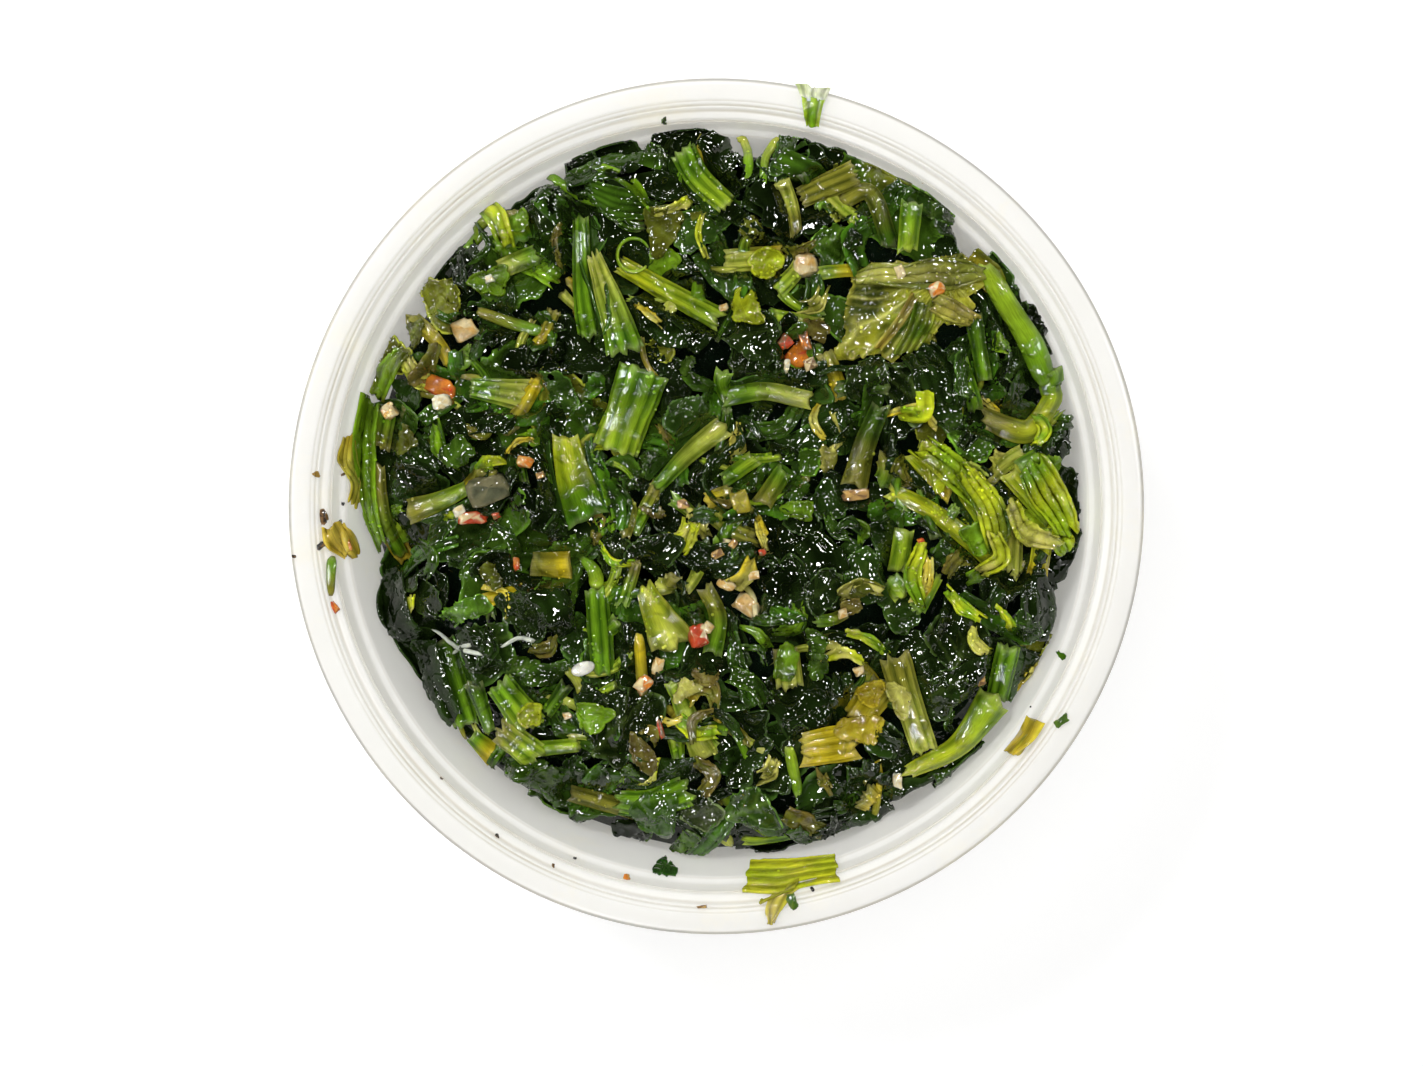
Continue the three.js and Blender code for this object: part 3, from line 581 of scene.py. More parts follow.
CLEAR_REACH = 1.3
WINDOW_REACH = 1.6


def map_window(middle, reach):
    """The map's rows or columns that are nearer than reach to a place."""
    return slice(int((middle + HALF - reach) / CELL), int((middle + HALF + reach) / CELL))


def keep_clear(spine, width, thickness):
    """Lowers the ceiling over a stalk's place, so that leaf chops laid before it stay under it."""
    half = width / 2
    for x, y, z in spine:
        i, j = map_window(x, half + WINDOW_REACH), map_window(y, half + WINDOW_REACH)
        away = np.hypot(plan_x[i, j] - x, plan_y[i, j] - y)
        limit = z - thickness / 2 + 0.25 + np.clip(away - half * 0.8, 0, None) ** 2 * 1.1
        ceiling[i, j] = np.minimum(ceiling[i, j], np.where(away < half + CLEAR_REACH, limit, NO_CEILING))


# The large pale leaf: its middle and outline in plan, as in the part's source
PALE_MIDDLE = (26.5, 27.6)
PALE_REACH = 10.5
PALE_OUTLINE = [
    (16.2, 20.4), (17.8, 23.6), (18.5, 28.5), (19.6, 32.7), (23.3, 33.5), (27.5, 33.1), (31, 34.1),
    (34.4, 34.2), (36.5, 33.1), (37.2, 30.5), (34.8, 28.9), (36.2, 26), (34.4, 25), (31.6, 25.2),
    (29.8, 23.8), (30.3, 22), (28.2, 22.7), (26.1, 21.5), (24.4, 19.8), (23, 21.4), (19.9, 20.6),
]


def pale_reach(angle):
    """How far the pale leaf reaches from its middle at each angle."""
    outline = np.array(PALE_OUTLINE) - PALE_MIDDLE
    turn = np.arctan2(outline[:, 1], outline[:, 0])
    return np.interp(angle, turn, np.hypot(outline[:, 0], outline[:, 1]), period=2 * math.pi)


def pale_height(x, y):
    """Height of the pale leaf, which is arched over the filling."""
    return surface_height(x, y) + 0.7 + 0.9 * np.cos((y - PALE_MIDDLE[1]) / 3.6)


def keep_pale_clear():
    """Lowers the ceiling under the pale leaf."""
    away_x, away_y = plan_x - PALE_MIDDLE[0], plan_y - PALE_MIDDLE[1]
    inside = np.hypot(away_x, away_y) < pale_reach(np.arctan2(away_y, away_x))
    ceiling[inside] = np.minimum(ceiling, pale_height(plan_x, plan_y) - 0.9)[inside]


# Small bits that the part's source also has: plan position, size, level, turn
BITS = {
    "garlic_northwest": ((-34.8, 24.8), (3.4, 2.9, 1.8), 0, 0.5),
    "garlic_centre": ((4.2, -13.6), (3.6, 2.6, 1.8), 0, -0.6),
    "garlic_northeast": ((12.6, 33.2), (3, 2.8, 2.4), 0, 0.2),
    "chilli_west": ((-38.2, 16.6), (4.4, 2.6, 1.4), 0, -0.3),
    "chilli_centre": ((11.4, 21), (3.4, 3, 1.6), 0, 0.9),
    "mushroom_slice": ((-31.2, 2.6), (5.4, 4, 1.8), 1, 0.4),
}


def bit_centre(plan, size, level):
    """Middle of a bit as the part's source places it."""
    z = float(surface_height(*plan)) - LOWEST_LEVEL_SINK + size[2] / 2 + level * LEVEL_RISE
    return np.array([plan[0], plan[1], z])


def keep_bits_clear():
    """Lowers the ceiling under the bits."""
    for plan, size, level, _ in BITS.values():
        centre = bit_centre(plan, size, level)
        near_bit = np.hypot(plan_x - plan[0], plan_y - plan[1]) < max(size[:2]) / 2 + 0.5
        ceiling[near_bit] = np.minimum(ceiling[near_bit], centre[2] - size[2] / 2 + 0.3)


def place_stalks():
    """Works out the spine of each single stalk, and keeps its place clear."""
    for entry in STALKS:
        entry["spine"] = stalk_spine(entry)
        width = max(entry["widths"])
        keep_clear(entry["spine"], width, width * entry["flatness"])


# Leaf chops

# How sharp the corners of a cut piece are
SHARPNESS = 6


def cut_outline(angle, size, corners, stretch):
    """Reach of a chopped leaf piece at each angle: straight cuts with a slightly ragged edge."""
    turn = rng.uniform(0, 2 * math.pi)
    closeness = (size * 1.2) ** -SHARPNESS * np.ones(angle.shape)
    for k in range(corners):
        facing = turn + (k + rng.uniform(-0.3, 0.3)) / corners * 2 * math.pi
        away = size * rng.uniform(0.45, 1.0) * math.hypot(math.cos(facing), stretch * math.sin(facing))
        closeness += (np.maximum(np.cos(angle - facing), 0) / away) ** SHARPNESS
    reach = closeness ** (-1 / SHARPNESS)
    lobes = 0.22 * wrinkle(np.cos(angle) * 1.7 + turn * 7, np.sin(angle) * 1.7)
    return reach * (1 + lobes + 0.1 * ripple(np.cos(angle) * 5 + turn * 7, np.sin(angle) * 5))


def disc_grid(steps):
    """A square grid pressed into a disc: its points, the angle of each, and how near the edge it is."""
    line = np.linspace(-1, 1, steps)
    s, t = np.meshgrid(line, line, indexing="ij")
    x = s * np.sqrt(1 - t * t / 2)
    y = t * np.sqrt(1 - s * s / 2)
    near_edge = np.maximum(np.abs(s), np.abs(t))
    return x, y, np.arctan2(y, x), near_edge


def fold_over(u, rise, start, bend):
    """Rolls a sheet up and over where u is past start."""
    over = np.clip(u - start, 0, None)
    phi = np.minimum(over / bend, math.pi * 0.95)
    rest = over - phi * bend
    folded = start + bend * np.sin(phi) + rest * np.cos(phi)
    lifted = bend * (1 - np.cos(phi)) + rest * np.sin(phi)
    return np.where(over > 0, folded, u), np.where(over > 0, rise * 0.5 + lifted, rise)


# Gap between the wall and a leaf
LEAF_GAP = 0.5


def drape(x, y, rise, under_stalks=True):
    """Lays a sheet with this rise on what is below, inside the wall."""
    z = smooth_height(x, y) + 0.25 + rise
    z = np.maximum(z, read_height(x, y) + 0.06 + 0.25 * np.clip(rise, 0, None))
    if under_stalks:
        z = np.minimum(z, read_ceiling(x, y))
    limit = inner_radius(z) - LEAF_GAP
    over = np.clip(np.hypot(x, y) - limit, 0, None)
    return np.stack([*pull_inside(x, y, limit), np.minimum(z + 0.35 * over, HIGHEST_POINT)], axis=-1)


def crumpled(u, v, near, crumple, seed):
    """Rise of a leaf piece: broad waves, sharp folds, small creases, a lifted edge and a bend."""
    warp = 0.9 * ripple(u / 4.5, v / 4.5 + seed)
    rise = crumple * 0.7 * wrinkle(u / 5.0 + seed, v / 5.0)
    rise += crumple * 1.1 * (0.75 - np.abs(wrinkle(u / 2.6 + seed + warp, v / 4.6 + warp))) ** 2
    rise += crumple * 0.4 * (0.5 - np.abs(ripple(u / 1.7 + seed, v / 2.2 + warp)))
    rise += rng.uniform(-0.3, 0.75) * near**5
    rise += rng.uniform(-0.03, 0.03) * u * u + rng.uniform(-0.035, 0.035) * v * v
    return rise - rng.uniform(-0.1, 0.25) * np.abs(v)


def vein_lines(u, v, seed):
    """The midrib and the side veins of a leaf piece, from 0 to 1."""
    side_vein = np.abs(np.sin((u - 0.8 * np.abs(v)) * 1.6 + seed)) ** 10
    midrib = np.exp(-((v / 0.35) ** 2))
    return np.clip(midrib + 0.55 * side_vein, 0, 1)


def leaf_chop(
    centre, size, steps, tone, crumple=1.0, curl=0.5, stretch=1.0, heading=None, veins=0.0, over=False
):
    """A crumpled leaf piece draped on what lies below: its grid, tints and flat coordinates. The fourth
    value of the tint says how near the edge is."""
    disc_x, disc_y, angle, near = disc_grid(steps)
    reach = cut_outline(angle, size, rng.integers(3, 7), stretch)
    u, v = disc_x * reach, disc_y * reach
    flats = np.stack([u, v], axis=-1) + rng.uniform(0, 90, 2)
    seed = rng.uniform(0, 100)
    rise = crumpled(u, v, near, crumple, seed)
    lines = veins * vein_lines(u, v, seed)
    rise += 0.12 * lines
    shade = 1 + 0.35 * wrinkle(u / 2.5 + seed, v / 2.5 - seed)
    colour = np.asarray(tone) * shade[..., None]
    colour = mix(colour, colour * 1.6 + (0.05, 0.075, 0.012), lines)
    if rng.random() < curl:
        u, rise = fold_over(u, rise, size * rng.uniform(0.15, 0.5), rng.uniform(0.7, 1.5))
    if heading is None:
        heading = rng.uniform(0, 2 * math.pi)
    x = centre[0] + u * math.cos(heading) - v * math.sin(heading)
    y = centre[1] + u * math.sin(heading) + v * math.cos(heading)
    lean = rng.uniform(-0.22, 0.22, 2) * (1 if crumple > 0.5 else 0.4)
    rise += lean[0] * (x - centre[0]) + lean[1] * (y - centre[1])
    tints = np.concatenate([colour, near[..., None]], axis=-1)
    return drape(x, y, rise, not over), tints, flats


# Tones of leaf, linear colours
DEEP = (0.0072, 0.0145, 0.0026)
MOSS = (0.0145, 0.034, 0.0040)
GRASS = (0.036, 0.084, 0.0055)
OLIVE = (0.10, 0.108, 0.009)
LIME = (0.47, 0.53, 0.016)
FRESH = (0.16, 0.30, 0.009)
GLOSSY_GREEN = (0.05, 0.14, 0.007)
SALLOW = (0.50, 0.47, 0.10)
AMBER = (0.50, 0.38, 0.020)
TEA = (0.15, 0.115, 0.022)
SMOKE = (0.040, 0.055, 0.018)

# How often each tone turns up in the chops
LEAF_TONES = [
    (0.40, (0.0050, 0.0100, 0.0020)),
    (0.27, (0.0080, 0.0165, 0.0028)),
    (0.18, (0.0140, 0.0330, 0.0040)),
    (0.10, (0.0350, 0.0780, 0.0060)),
    (0.05, (0.1000, 0.1100, 0.0090)),
]


def pick_tone():
    """A random tone for a chop."""
    draw = rng.random()
    for share, tone in LEAF_TONES:
        if draw < share:
            return np.array(tone) * rng.uniform(0.75, 1.3)
        draw -= share
    return np.array(LEAF_TONES[0][1])


def best_spot(tries, reach, shy=False):
    """The lowest of a few random spots, against the height that the filling should have. It is seldom
    on the pale leaf, and a shy piece seldom lies on a single stalk."""
    found, lowest = None, -99
    for _ in range(tries):
        radius = reach * math.sqrt(rng.random())
        turn = rng.uniform(0, 2 * math.pi)
        x, y = radius * math.cos(turn), radius * math.sin(turn)
        want = float(surface_height(x, y)) - float(smooth_height(x, y))
        if math.hypot(x - PALE_MIDDLE[0], y - PALE_MIDDLE[1]) < PALE_REACH:
            want -= 3
        if shy and read_ceiling(x, y) < NO_CEILING:
            want -= 2
        if want > lowest:
            found, lowest = (x, y), want
    return found


chops = []


def add_chop(*details, **more):
    """Makes a chop and lays it."""
    chop = leaf_chop(*details, **more)
    chops.append(chop)
    lay(chop[0], 0.1)


SMALL_CHOPS = 150
LARGE_CHOPS = 130
NARROW_CHOPS = 70
COVER_CHOPS = 40


def lay_chops():
    """The layers of chops that fill the tub: small ones, large ones and narrow ones."""
    for _ in range(SMALL_CHOPS):
        spot, size = best_spot(6, BED_RADIUS + 0.5), rng.uniform(4.0, 7.0)
        add_chop(spot, size, 17, pick_tone(), rng.uniform(0.5, 1.0))
    for _ in range(LARGE_CHOPS):
        size = rng.uniform(5.0, 9.5)
        add_chop(best_spot(6, BED_RADIUS - 1), size, 23, pick_tone(), rng.uniform(0.6, 1.2), 0.6)
    for _ in range(NARROW_CHOPS):
        size = rng.uniform(5.0, 8.5)
        narrow = rng.uniform(0.28, 0.5)
        add_chop(best_spot(5, BED_RADIUS - 3), size, 21, pick_tone(), rng.uniform(0.6, 1.0), 0.7, narrow)


def lay_cover_chops():
    """Small chops over the cracks that the stalks leave."""
    for _ in range(COVER_CHOPS):
        add_chop(best_spot(6, BED_RADIUS), rng.uniform(2.6, 5.0), 15, pick_tone(), 0.9, 0.6,
                 rng.uniform(0.4, 1))


# Smooth broad leaf pieces that show: plan position, size, stretch, heading, tone, veins
BROAD_LEAVES = [
    ((-11.5, 44.5), 6.4, 0.62, 0.05, MOSS, 1.0),
    ((-21.5, 38.5), 5.6, 1.0, 1.2, DEEP, 0.2),
    ((-8.5, 48), 4.4, 0.6, 0.1, MOSS, 0.6),
    ((1.5, 45.5), 4.6, 0.9, 0.4, DEEP, 0.1),
    ((8.5, 46.8), 3.6, 1.0, 1.4, MOSS, 0.3),
    ((1.6, 31), 4.6, 1.0, 2.2, MOSS, 0.2),
    ((-4.5, 39.4), 4.0, 0.8, 1.6, DEEP, 0.3),
    ((15.8, 36.5), 3.8, 0.8, 0.3, GRASS, 0.9),
    ((13.5, 28.6), 3.2, 0.8, 0.2, GRASS, 0.7),
    ((27.5, 17), 5.2, 0.9, 1.5, DEEP, 0.9),
    ((41.5, 19), 4.0, 1.1, 1.0, MOSS, 0.4),
    ((39.5, 24.5), 3.4, 1.0, 0.4, DEEP, 0.2),
    ((35.5, 9.5), 3.0, 2.0, 0.1, GRASS, 0.6),
    ((33.5, 12), 3.6, 1.0, 0.8, MOSS, 0.3),
    ((30.5, -4), 3.4, 0.7, 2.6, GRASS, 0.8),
    ((24.6, -12), 4.4, 1.1, 1.3, MOSS, 0.4),
    ((20.5, -9.5), 4.2, 0.9, 1.9, MOSS, 0.2),
    ((43.6, -15.5), 3.6, 1.2, 1.5, MOSS, 0.6),
    ((40.4, -13.5), 4.4, 1.0, 0.6, MOSS, 0.5),
    ((-13.4, -6), 4.6, 1.0, 0.7, DEEP, 0.2),
    ((-9.5, 4.5), 4.2, 1.1, 1.9, MOSS, 0.2),
    ((4.5, 19.5), 5.0, 0.9, 0.4, DEEP, 0.2),
    ((-25, -14.5), 4.6, 0.9, 0.3, DEEP, 0.3),
    ((-35, -2.5), 5.2, 0.8, 0.4, MOSS, 0.4),
    ((-36, 5.5), 4.8, 0.7, 0.3, MOSS, 0.5),
    ((-42.5, -12.5), 3.6, 1.0, 2.0, DEEP, 0.2),
    ((-33, -19), 4.8, 0.9, 0.2, MOSS, 0.4),
    ((-20.5, -37.5), 4.4, 0.8, 0.2, MOSS, 0.3),
    ((5.5, -42.6), 4.4, 0.9, 0.6, GRASS, 0.2),
    ((-3, -43.5), 3.4, 1.0, 0.1, MOSS, 0.3),
    ((15.5, -43), 4.6, 0.8, 0.3, DEEP, 0.2),
    ((31.5, -41), 3.0, 1.0, 1.4, MOSS, 0.3),
    ((34.5, -19), 4.6, 1.0, 1.2, DEEP, 0.5),
    ((30, 41), 3.4, 1.2, 1.4, MOSS, 0.6),
    ((-37.5, 29.5), 4.0, 0.8, 0.9, OLIVE, 0.6),
    ((-44.5, 20.5), 3.6, 0.9, 1.2, OLIVE, 0.4),
    ((-34.5, 33.5), 3.4, 1.0, 0.3, DEEP, 0.2),
]


def lay_broad_leaves():
    """The broad pieces on the chops, in tones near their own."""
    for centre, size, stretch, heading, tone, veins in BROAD_LEAVES:
        tone = np.array(tone) * rng.uniform(0.85, 1.2)
        add_chop(centre, size, 27, tone, 0.42, 0.25, stretch, heading, veins)


# Stalks, with what is left of the leaf on their flanks


def leaf_wing(spine, half, side, reach, seed, tone):
    """Leaf along one flank of a stalk, sagging from it on to what lies beside it."""
    count = len(spine)
    share = np.linspace(0, 1, count)
    length = length_of(spine)
    along = unit(np.gradient(spine, axis=0))
    across = unit(np.stack([-along[:, 1], along[:, 0]], axis=1)) * side
    t = np.linspace(0, 1, 8)
    width = reach * (0.8 + 0.6 * wrinkle(share * length * 0.4 + seed, seed))
    width = width * np.clip(np.sin(math.pi * (0.06 + 0.88 * share)) * 1.8, 0.1, 1)
    away = half * 0.8 + t[None] * width[:, None]
    x = spine[:, 0, None] + across[:, 0, None] * away
    y = spine[:, 1, None] + across[:, 1, None] * away
    wave = 0.45 * t[None] * ripple(share[:, None] * length * 0.7 + seed, t[None] * 1.3)
    sag = 1 - (1 - t[None]) ** 1.3
    z = (spine[:, 2, None] - 0.1) * (1 - sag) + (smooth_height(x, y) + 0.3) * sag + wave
    inside = pull_inside(x, y, inner_radius(z) - LEAF_GAP)
    points = np.stack([*inside, np.minimum(z, HIGHEST_POINT)], axis=-1)
    if side < 0:
        points = points[:, ::-1]
    colour = np.asarray(tone) * (1 + 0.3 * wrinkle(x / 2, y / 2))[..., None]
    near = np.broadcast_to(t[None], x.shape)[..., None]
    flats = np.stack([np.broadcast_to(share[:, None] * length, x.shape), away], axis=-1) + seed
    return points, np.concatenate([colour, near], axis=-1), flats


stalk_shapes = []
wings = []
small_stalks = []
SHAPE_KEYS = ("spine", "widths", "flatness", "ribs", "tones", "frays")


def lay_single_stalks():
    """The stalks that are nodes of their own, each after its wings."""
    for order, entry in enumerate(STALKS):
        seed = order * 1.37
        for side, reach in zip((1, -1), entry["wings"]):
            if reach:
                tone = np.array(MOSS) * rng.uniform(0.6, 1.9)
                wing = leaf_wing(entry["spine"], max(entry["widths"]) / 2, side, reach, seed + side, tone)
                wings.append(wing)
                lay(wing[0], 0.1)
        shape = stalk_body(*(entry[key] for key in SHAPE_KEYS), seed)
        stalk_shapes.append((entry, shape))
        lay(shape[0])


def add_small_stalk(shape):
    """Lays a small stalk."""
    small_stalks.append(shape)
    lay(shape[0])


# Gap between the wall and a small stalk
STALK_GAP = 0.6


def loose_stalk(x, y, length, widths, heading, bow, flatness, ribs, tones, frays, seed):
    """A short stalk laid on what is below."""
    step = np.linspace(-0.5, 0.5, max(8, int(length / 0.5)))
    bend = bow * (step**2 * 4 - 0.5)
    px = x + step * length * math.cos(heading) - bend * math.sin(heading)
    py = y + step * length * math.sin(heading) + bend * math.cos(heading)
    width = max(widths)
    pz = smooth_height(px, py) + width * flatness * 0.3
    inside = pull_inside(px, py, inner_radius(pz) - STALK_GAP - width / 2)
    spine = np.stack([*inside, np.minimum(pz, read_ceiling(px, py) + 0.6)], axis=1)
    return stalk_body(spine, widths, flatness, ribs, tones, frays, seed)


SMALL_TONES = [
    ("green", "green"),
    ("green", "bright"),
    ("green", "dark"),
    ("dark", "dark"),
    ("olive", "green"),
    ("olive", "pale"),
    ("pale", "bright"),
    ("yellow", "olive"),
]
LOOSE_STALKS = 115


def lay_loose_stalks():
    """Short stalks at random."""
    for order in range(LOOSE_STALKS):
        x, y = best_spot(4, BED_RADIUS - 1)
        length = rng.uniform(2.5, 8.0)
        width = rng.uniform(0.7, 2.6)
        tones = SMALL_TONES[rng.integers(0, len(SMALL_TONES))]
        frays = rng.uniform(0.2, 1.2, 2)
        widths = width * rng.uniform(0.6, 1), width
        heading, bow = rng.uniform(0, 2 * math.pi), rng.uniform(-0.9, 0.9)
        flatness, ribs = rng.uniform(0.35, 0.8), int(rng.integers(1, 4))
        seed = order * 2.11 + 50
        add_small_stalk(loose_stalk(x, y, length, widths, heading, bow, flatness, ribs, tones, frays, seed))


# Further stalks that show: route, end widths, flatness, ribs, tones, frays
MORE_STALKS = [
    ([(-30, -31), (-25.2, -35)], (4.2, 4.6), 0.45, 4, ("olive", "bright"), (0.8, 0.8)),
    ([(-1.2, 0.8), (2.3, 2.4)], (2.4, 2.0), 0.6, 2, ("yellow", "olive"), (0.4, 0.4)),
    ([(24, -9.7), (26.2, -12.4)], (2.6, 3.0), 0.55, 2, ("green", "bright"), (0.6, 0.8)),
    ([(46.4, -23.6), (45.7, -27)], (3.0, 2.4), 0.5, 2, ("yellow", "yellow"), (0.6, 1.0)),
    ([(43.6, -30.5), (42.5, -35.7)], (2.6, 2.0), 0.55, 2, ("yellow", "olive"), (0.6, 1.2)),
    ([(10.2, -33.3), (11.6, -40.2)], (1.8, 1.5), 0.7, 1, ("bright", "green"), (0.4, 0.5)),
    ([(14.4, 32), (19.7, 32.5)], (1.9, 1.7), 0.6, 2, ("bright", "yellow"), (0.6, 0.8)),
    ([(8.5, 26), (14.4, 25)], (2.4, 2.0), 0.55, 2, ("bright", "pale"), (0.8, 0.6)),
    ([(41.9, 5.3), (48, 9)], (2.4, 2.6), 0.8, 2, ("green", "bright"), (0.3, 0.2)),
    ([(-23, 46), (-16.3, 41.9), (-7.9, 41.4)], (1.6, 1.2), 0.7, 1, ("green", "dark"), (0.6, 0.4)),
    ([(-12, -29.7), (-9, -30.2), (-6.4, -31.8)], (1.7, 1.4), 0.7, 1, ("olive", "bright"), (0.5, 0.3)),
    ([(46.5, 19), (46.8, 15.6), (44.6, 12)], (3.2, 2.6), 0.6, 2, ("green", "lime"), (0.3, 0.5)),
    ([(-5.7, -24.2), (-3.8, -29), (-1.6, -34.6)], (2.2, 3.8), 0.5, 2, ("bright", "pale"), (0.6, 1.2)),
    ([(-14.6, 2.6), (-11.6, -0.6), (-12.4, -4.2)], (2.6, 1.6), 0.5, 2, ("pale", "olive"), (0.8, 0.5)),
    ([(33.8, 20), (35.8, 13.6)], (2.0, 2.2), 0.7, 2, ("green", "green"), (0.5, 0.5)),
    ([(30.6, -9.4), (27.8, -14.2)], (2.0, 2.4), 0.6, 2, ("bright", "green"), (0.6, 0.8)),
    ([(45, -3), (44.4, -9.4)], (2.6, 3.0), 0.5, 3, ("bright", "yellow"), (0.6, 0.9)),
    ([(3.2, 52.6), (4.6, 48.4), (4.4, 44.6)], (1.2, 1.6), 0.7, 1, ("pale", "green"), (0.5, 0.5)),
    ([(9.6, 51.4), (7.2, 48.2), (6.8, 43.6)], (1.4, 1.2), 0.7, 1, ("pale", "green"), (0.5, 0.5)),
    ([(-36.4, 36.4), (-31.6, 39.6), (-26.6, 40.6)], (1.8, 1.4), 0.6, 1, ("green", "olive"), (0.5, 0.5)),
    ([(-42.6, 26.6), (-38.6, 23.2), (-36.8, 19.8)], (2.4, 1.8), 0.5, 2, ("olive", "yellow"), (0.8, 0.5)),
    ([(-45.4, -13.6), (-43.6, -17.6)], (2.6, 2.0), 0.5, 2, ("olive", "yellow"), (0.8, 0.8)),
    ([(-32.6, -12.8), (-26.4, -12.2)], (1.4, 3.4), 0.3, 2, ("yellow", "yellow"), (1.0, 0.6)),
    ([(-33.8, -24.6), (-31.8, -31.6)], (2.6, 1.6), 0.5, 2, ("dark", "green"), (0.6, 0.5)),
    ([(1.2, -4.6), (4.2, -6.2), (3.6, -9.4)], (1.1, 0.8), 0.7, 1, ("cream", "olive"), (0.4, 0.3)),
    ([(-0.6, -8.4), (1.8, -9.6), (5.4, -7.6)], (0.7, 1.0), 0.7, 1, ("olive", "cream"), (0.3, 0.4)),
    ([(3.4, -10.4), (5.2, -12.2), (5.8, -15.6)], (1.0, 0.8), 0.7, 1, ("olive", "cream"), (0.3, 0.3)),
]


def laid_stalk(route, widths, flatness, ribs, tones, frays, seed):
    """A stalk along a route, laid on what is below."""
    plan = curve_points(route, 5)
    length = length_of(plan)
    spine = curve_points(plan, max(9, int(length / 0.45)))
    width = max(widths)
    x, y = spine[:, 0], spine[:, 1]
    z = smooth_height(x, y) + width * flatness * 0.35
    inside = pull_inside(x, y, inner_radius(z) - STALK_GAP - width / 2)
    spine = np.column_stack([*inside, np.minimum(z, HIGHEST_POINT - width * flatness / 2)])
    return stalk_body(spine, widths, flatness, ribs, tones, frays, seed)


def lay_more_stalks():
    """The further stalks."""
    for order, details in enumerate(MORE_STALKS):
        add_small_stalk(laid_stalk(*details, order * 1.7 + 300))


# Leaf strips between two edges given in plan


def ribbon(edge_a, edge_b, rows, columns, ribs, tone_a, tone_b, seed, fray=0.4, fold=0.3):
    """A leaf strip: its plan, rise, tints and flat coordinates. fold is how high its ribs stand."""
    a, b = curve_points(edge_a, rows), curve_points(edge_b, rows)
    share, t = np.linspace(0, 1, rows)[:, None], np.linspace(0, 1, columns)[None]
    plan = a[:, None] * (1 - t[..., None]) + b[:, None] * t[..., None]
    along = unit(np.gradient((a + b) / 2, axis=0))[:, None]
    torn = fray * ripple(t * (ribs + 2) + seed, seed) * (2 * share - 1) ** 5
    plan = plan + along * torn[..., None]
    x, y = plan[..., 0], plan[..., 1]
    rib = np.abs(np.cos(math.pi * ribs * t + 0.5 * ripple(share * 3 + seed, t * 2))) ** 1.6
    rise = fold * rib + 0.3 * wrinkle(x * 0.6 + seed, y * 0.6) + 0.12 * ripple(x * 1.5, y * 1.5)
    tone = mix(tone_a, tone_b, np.clip(0.5 + 0.8 * wrinkle(share * 3 + seed, t * 2), 0, 1))
    # Lighter along the ribs and darker between them: the leaf's own ribs, with painted shade in the hollows
    # between them
    colour = tone * (0.55 + 0.75 * rib * np.ones_like(x))[..., None]
    near = np.maximum(np.abs(2 * t - 1), np.abs(2 * share - 1))
    flats = np.stack([t * 4 + 0 * share, share * length_of(a) + 0 * t], axis=-1)
    return x, y, rise, np.concatenate([colour, near[..., None] * 0.9], axis=-1), flats


def leaf_strip(route, widths, ribs, tone_a, tone_b, seed, fray=0.5, fold=0.45, under_stalks=False):
    """A torn leaf strip along a route, laid on what is below."""
    middle = curve_points(route, 7)
    along = unit(np.gradient(middle, axis=0))
    across = np.stack([-along[:, 1], along[:, 0]], axis=1)
    share = np.linspace(0, 1, len(middle))
    half = np.interp(share, np.linspace(0, 1, len(widths)), widths)[:, None] / 2
    ragged_a = 1 + 0.22 * ripple(share * 4 + seed, 0.3)[:, None]
    ragged_b = 1 + 0.22 * ripple(share * 4 + seed, 7.7)[:, None]
    length = length_of(middle)
    rows = max(10, int(length / 0.45))
    columns = max(7, int(max(widths) / 0.35), 5 * ribs)
    left, right = middle - across * half * ragged_a, middle + across * half * ragged_b
    x, y, rise, tints, flats = ribbon(left, right, rows, columns, ribs, tone_a, tone_b, seed, fray, fold)
    return drape(x, y, rise, under_stalks)[:, ::-1], tints[:, ::-1], flats[:, ::-1]


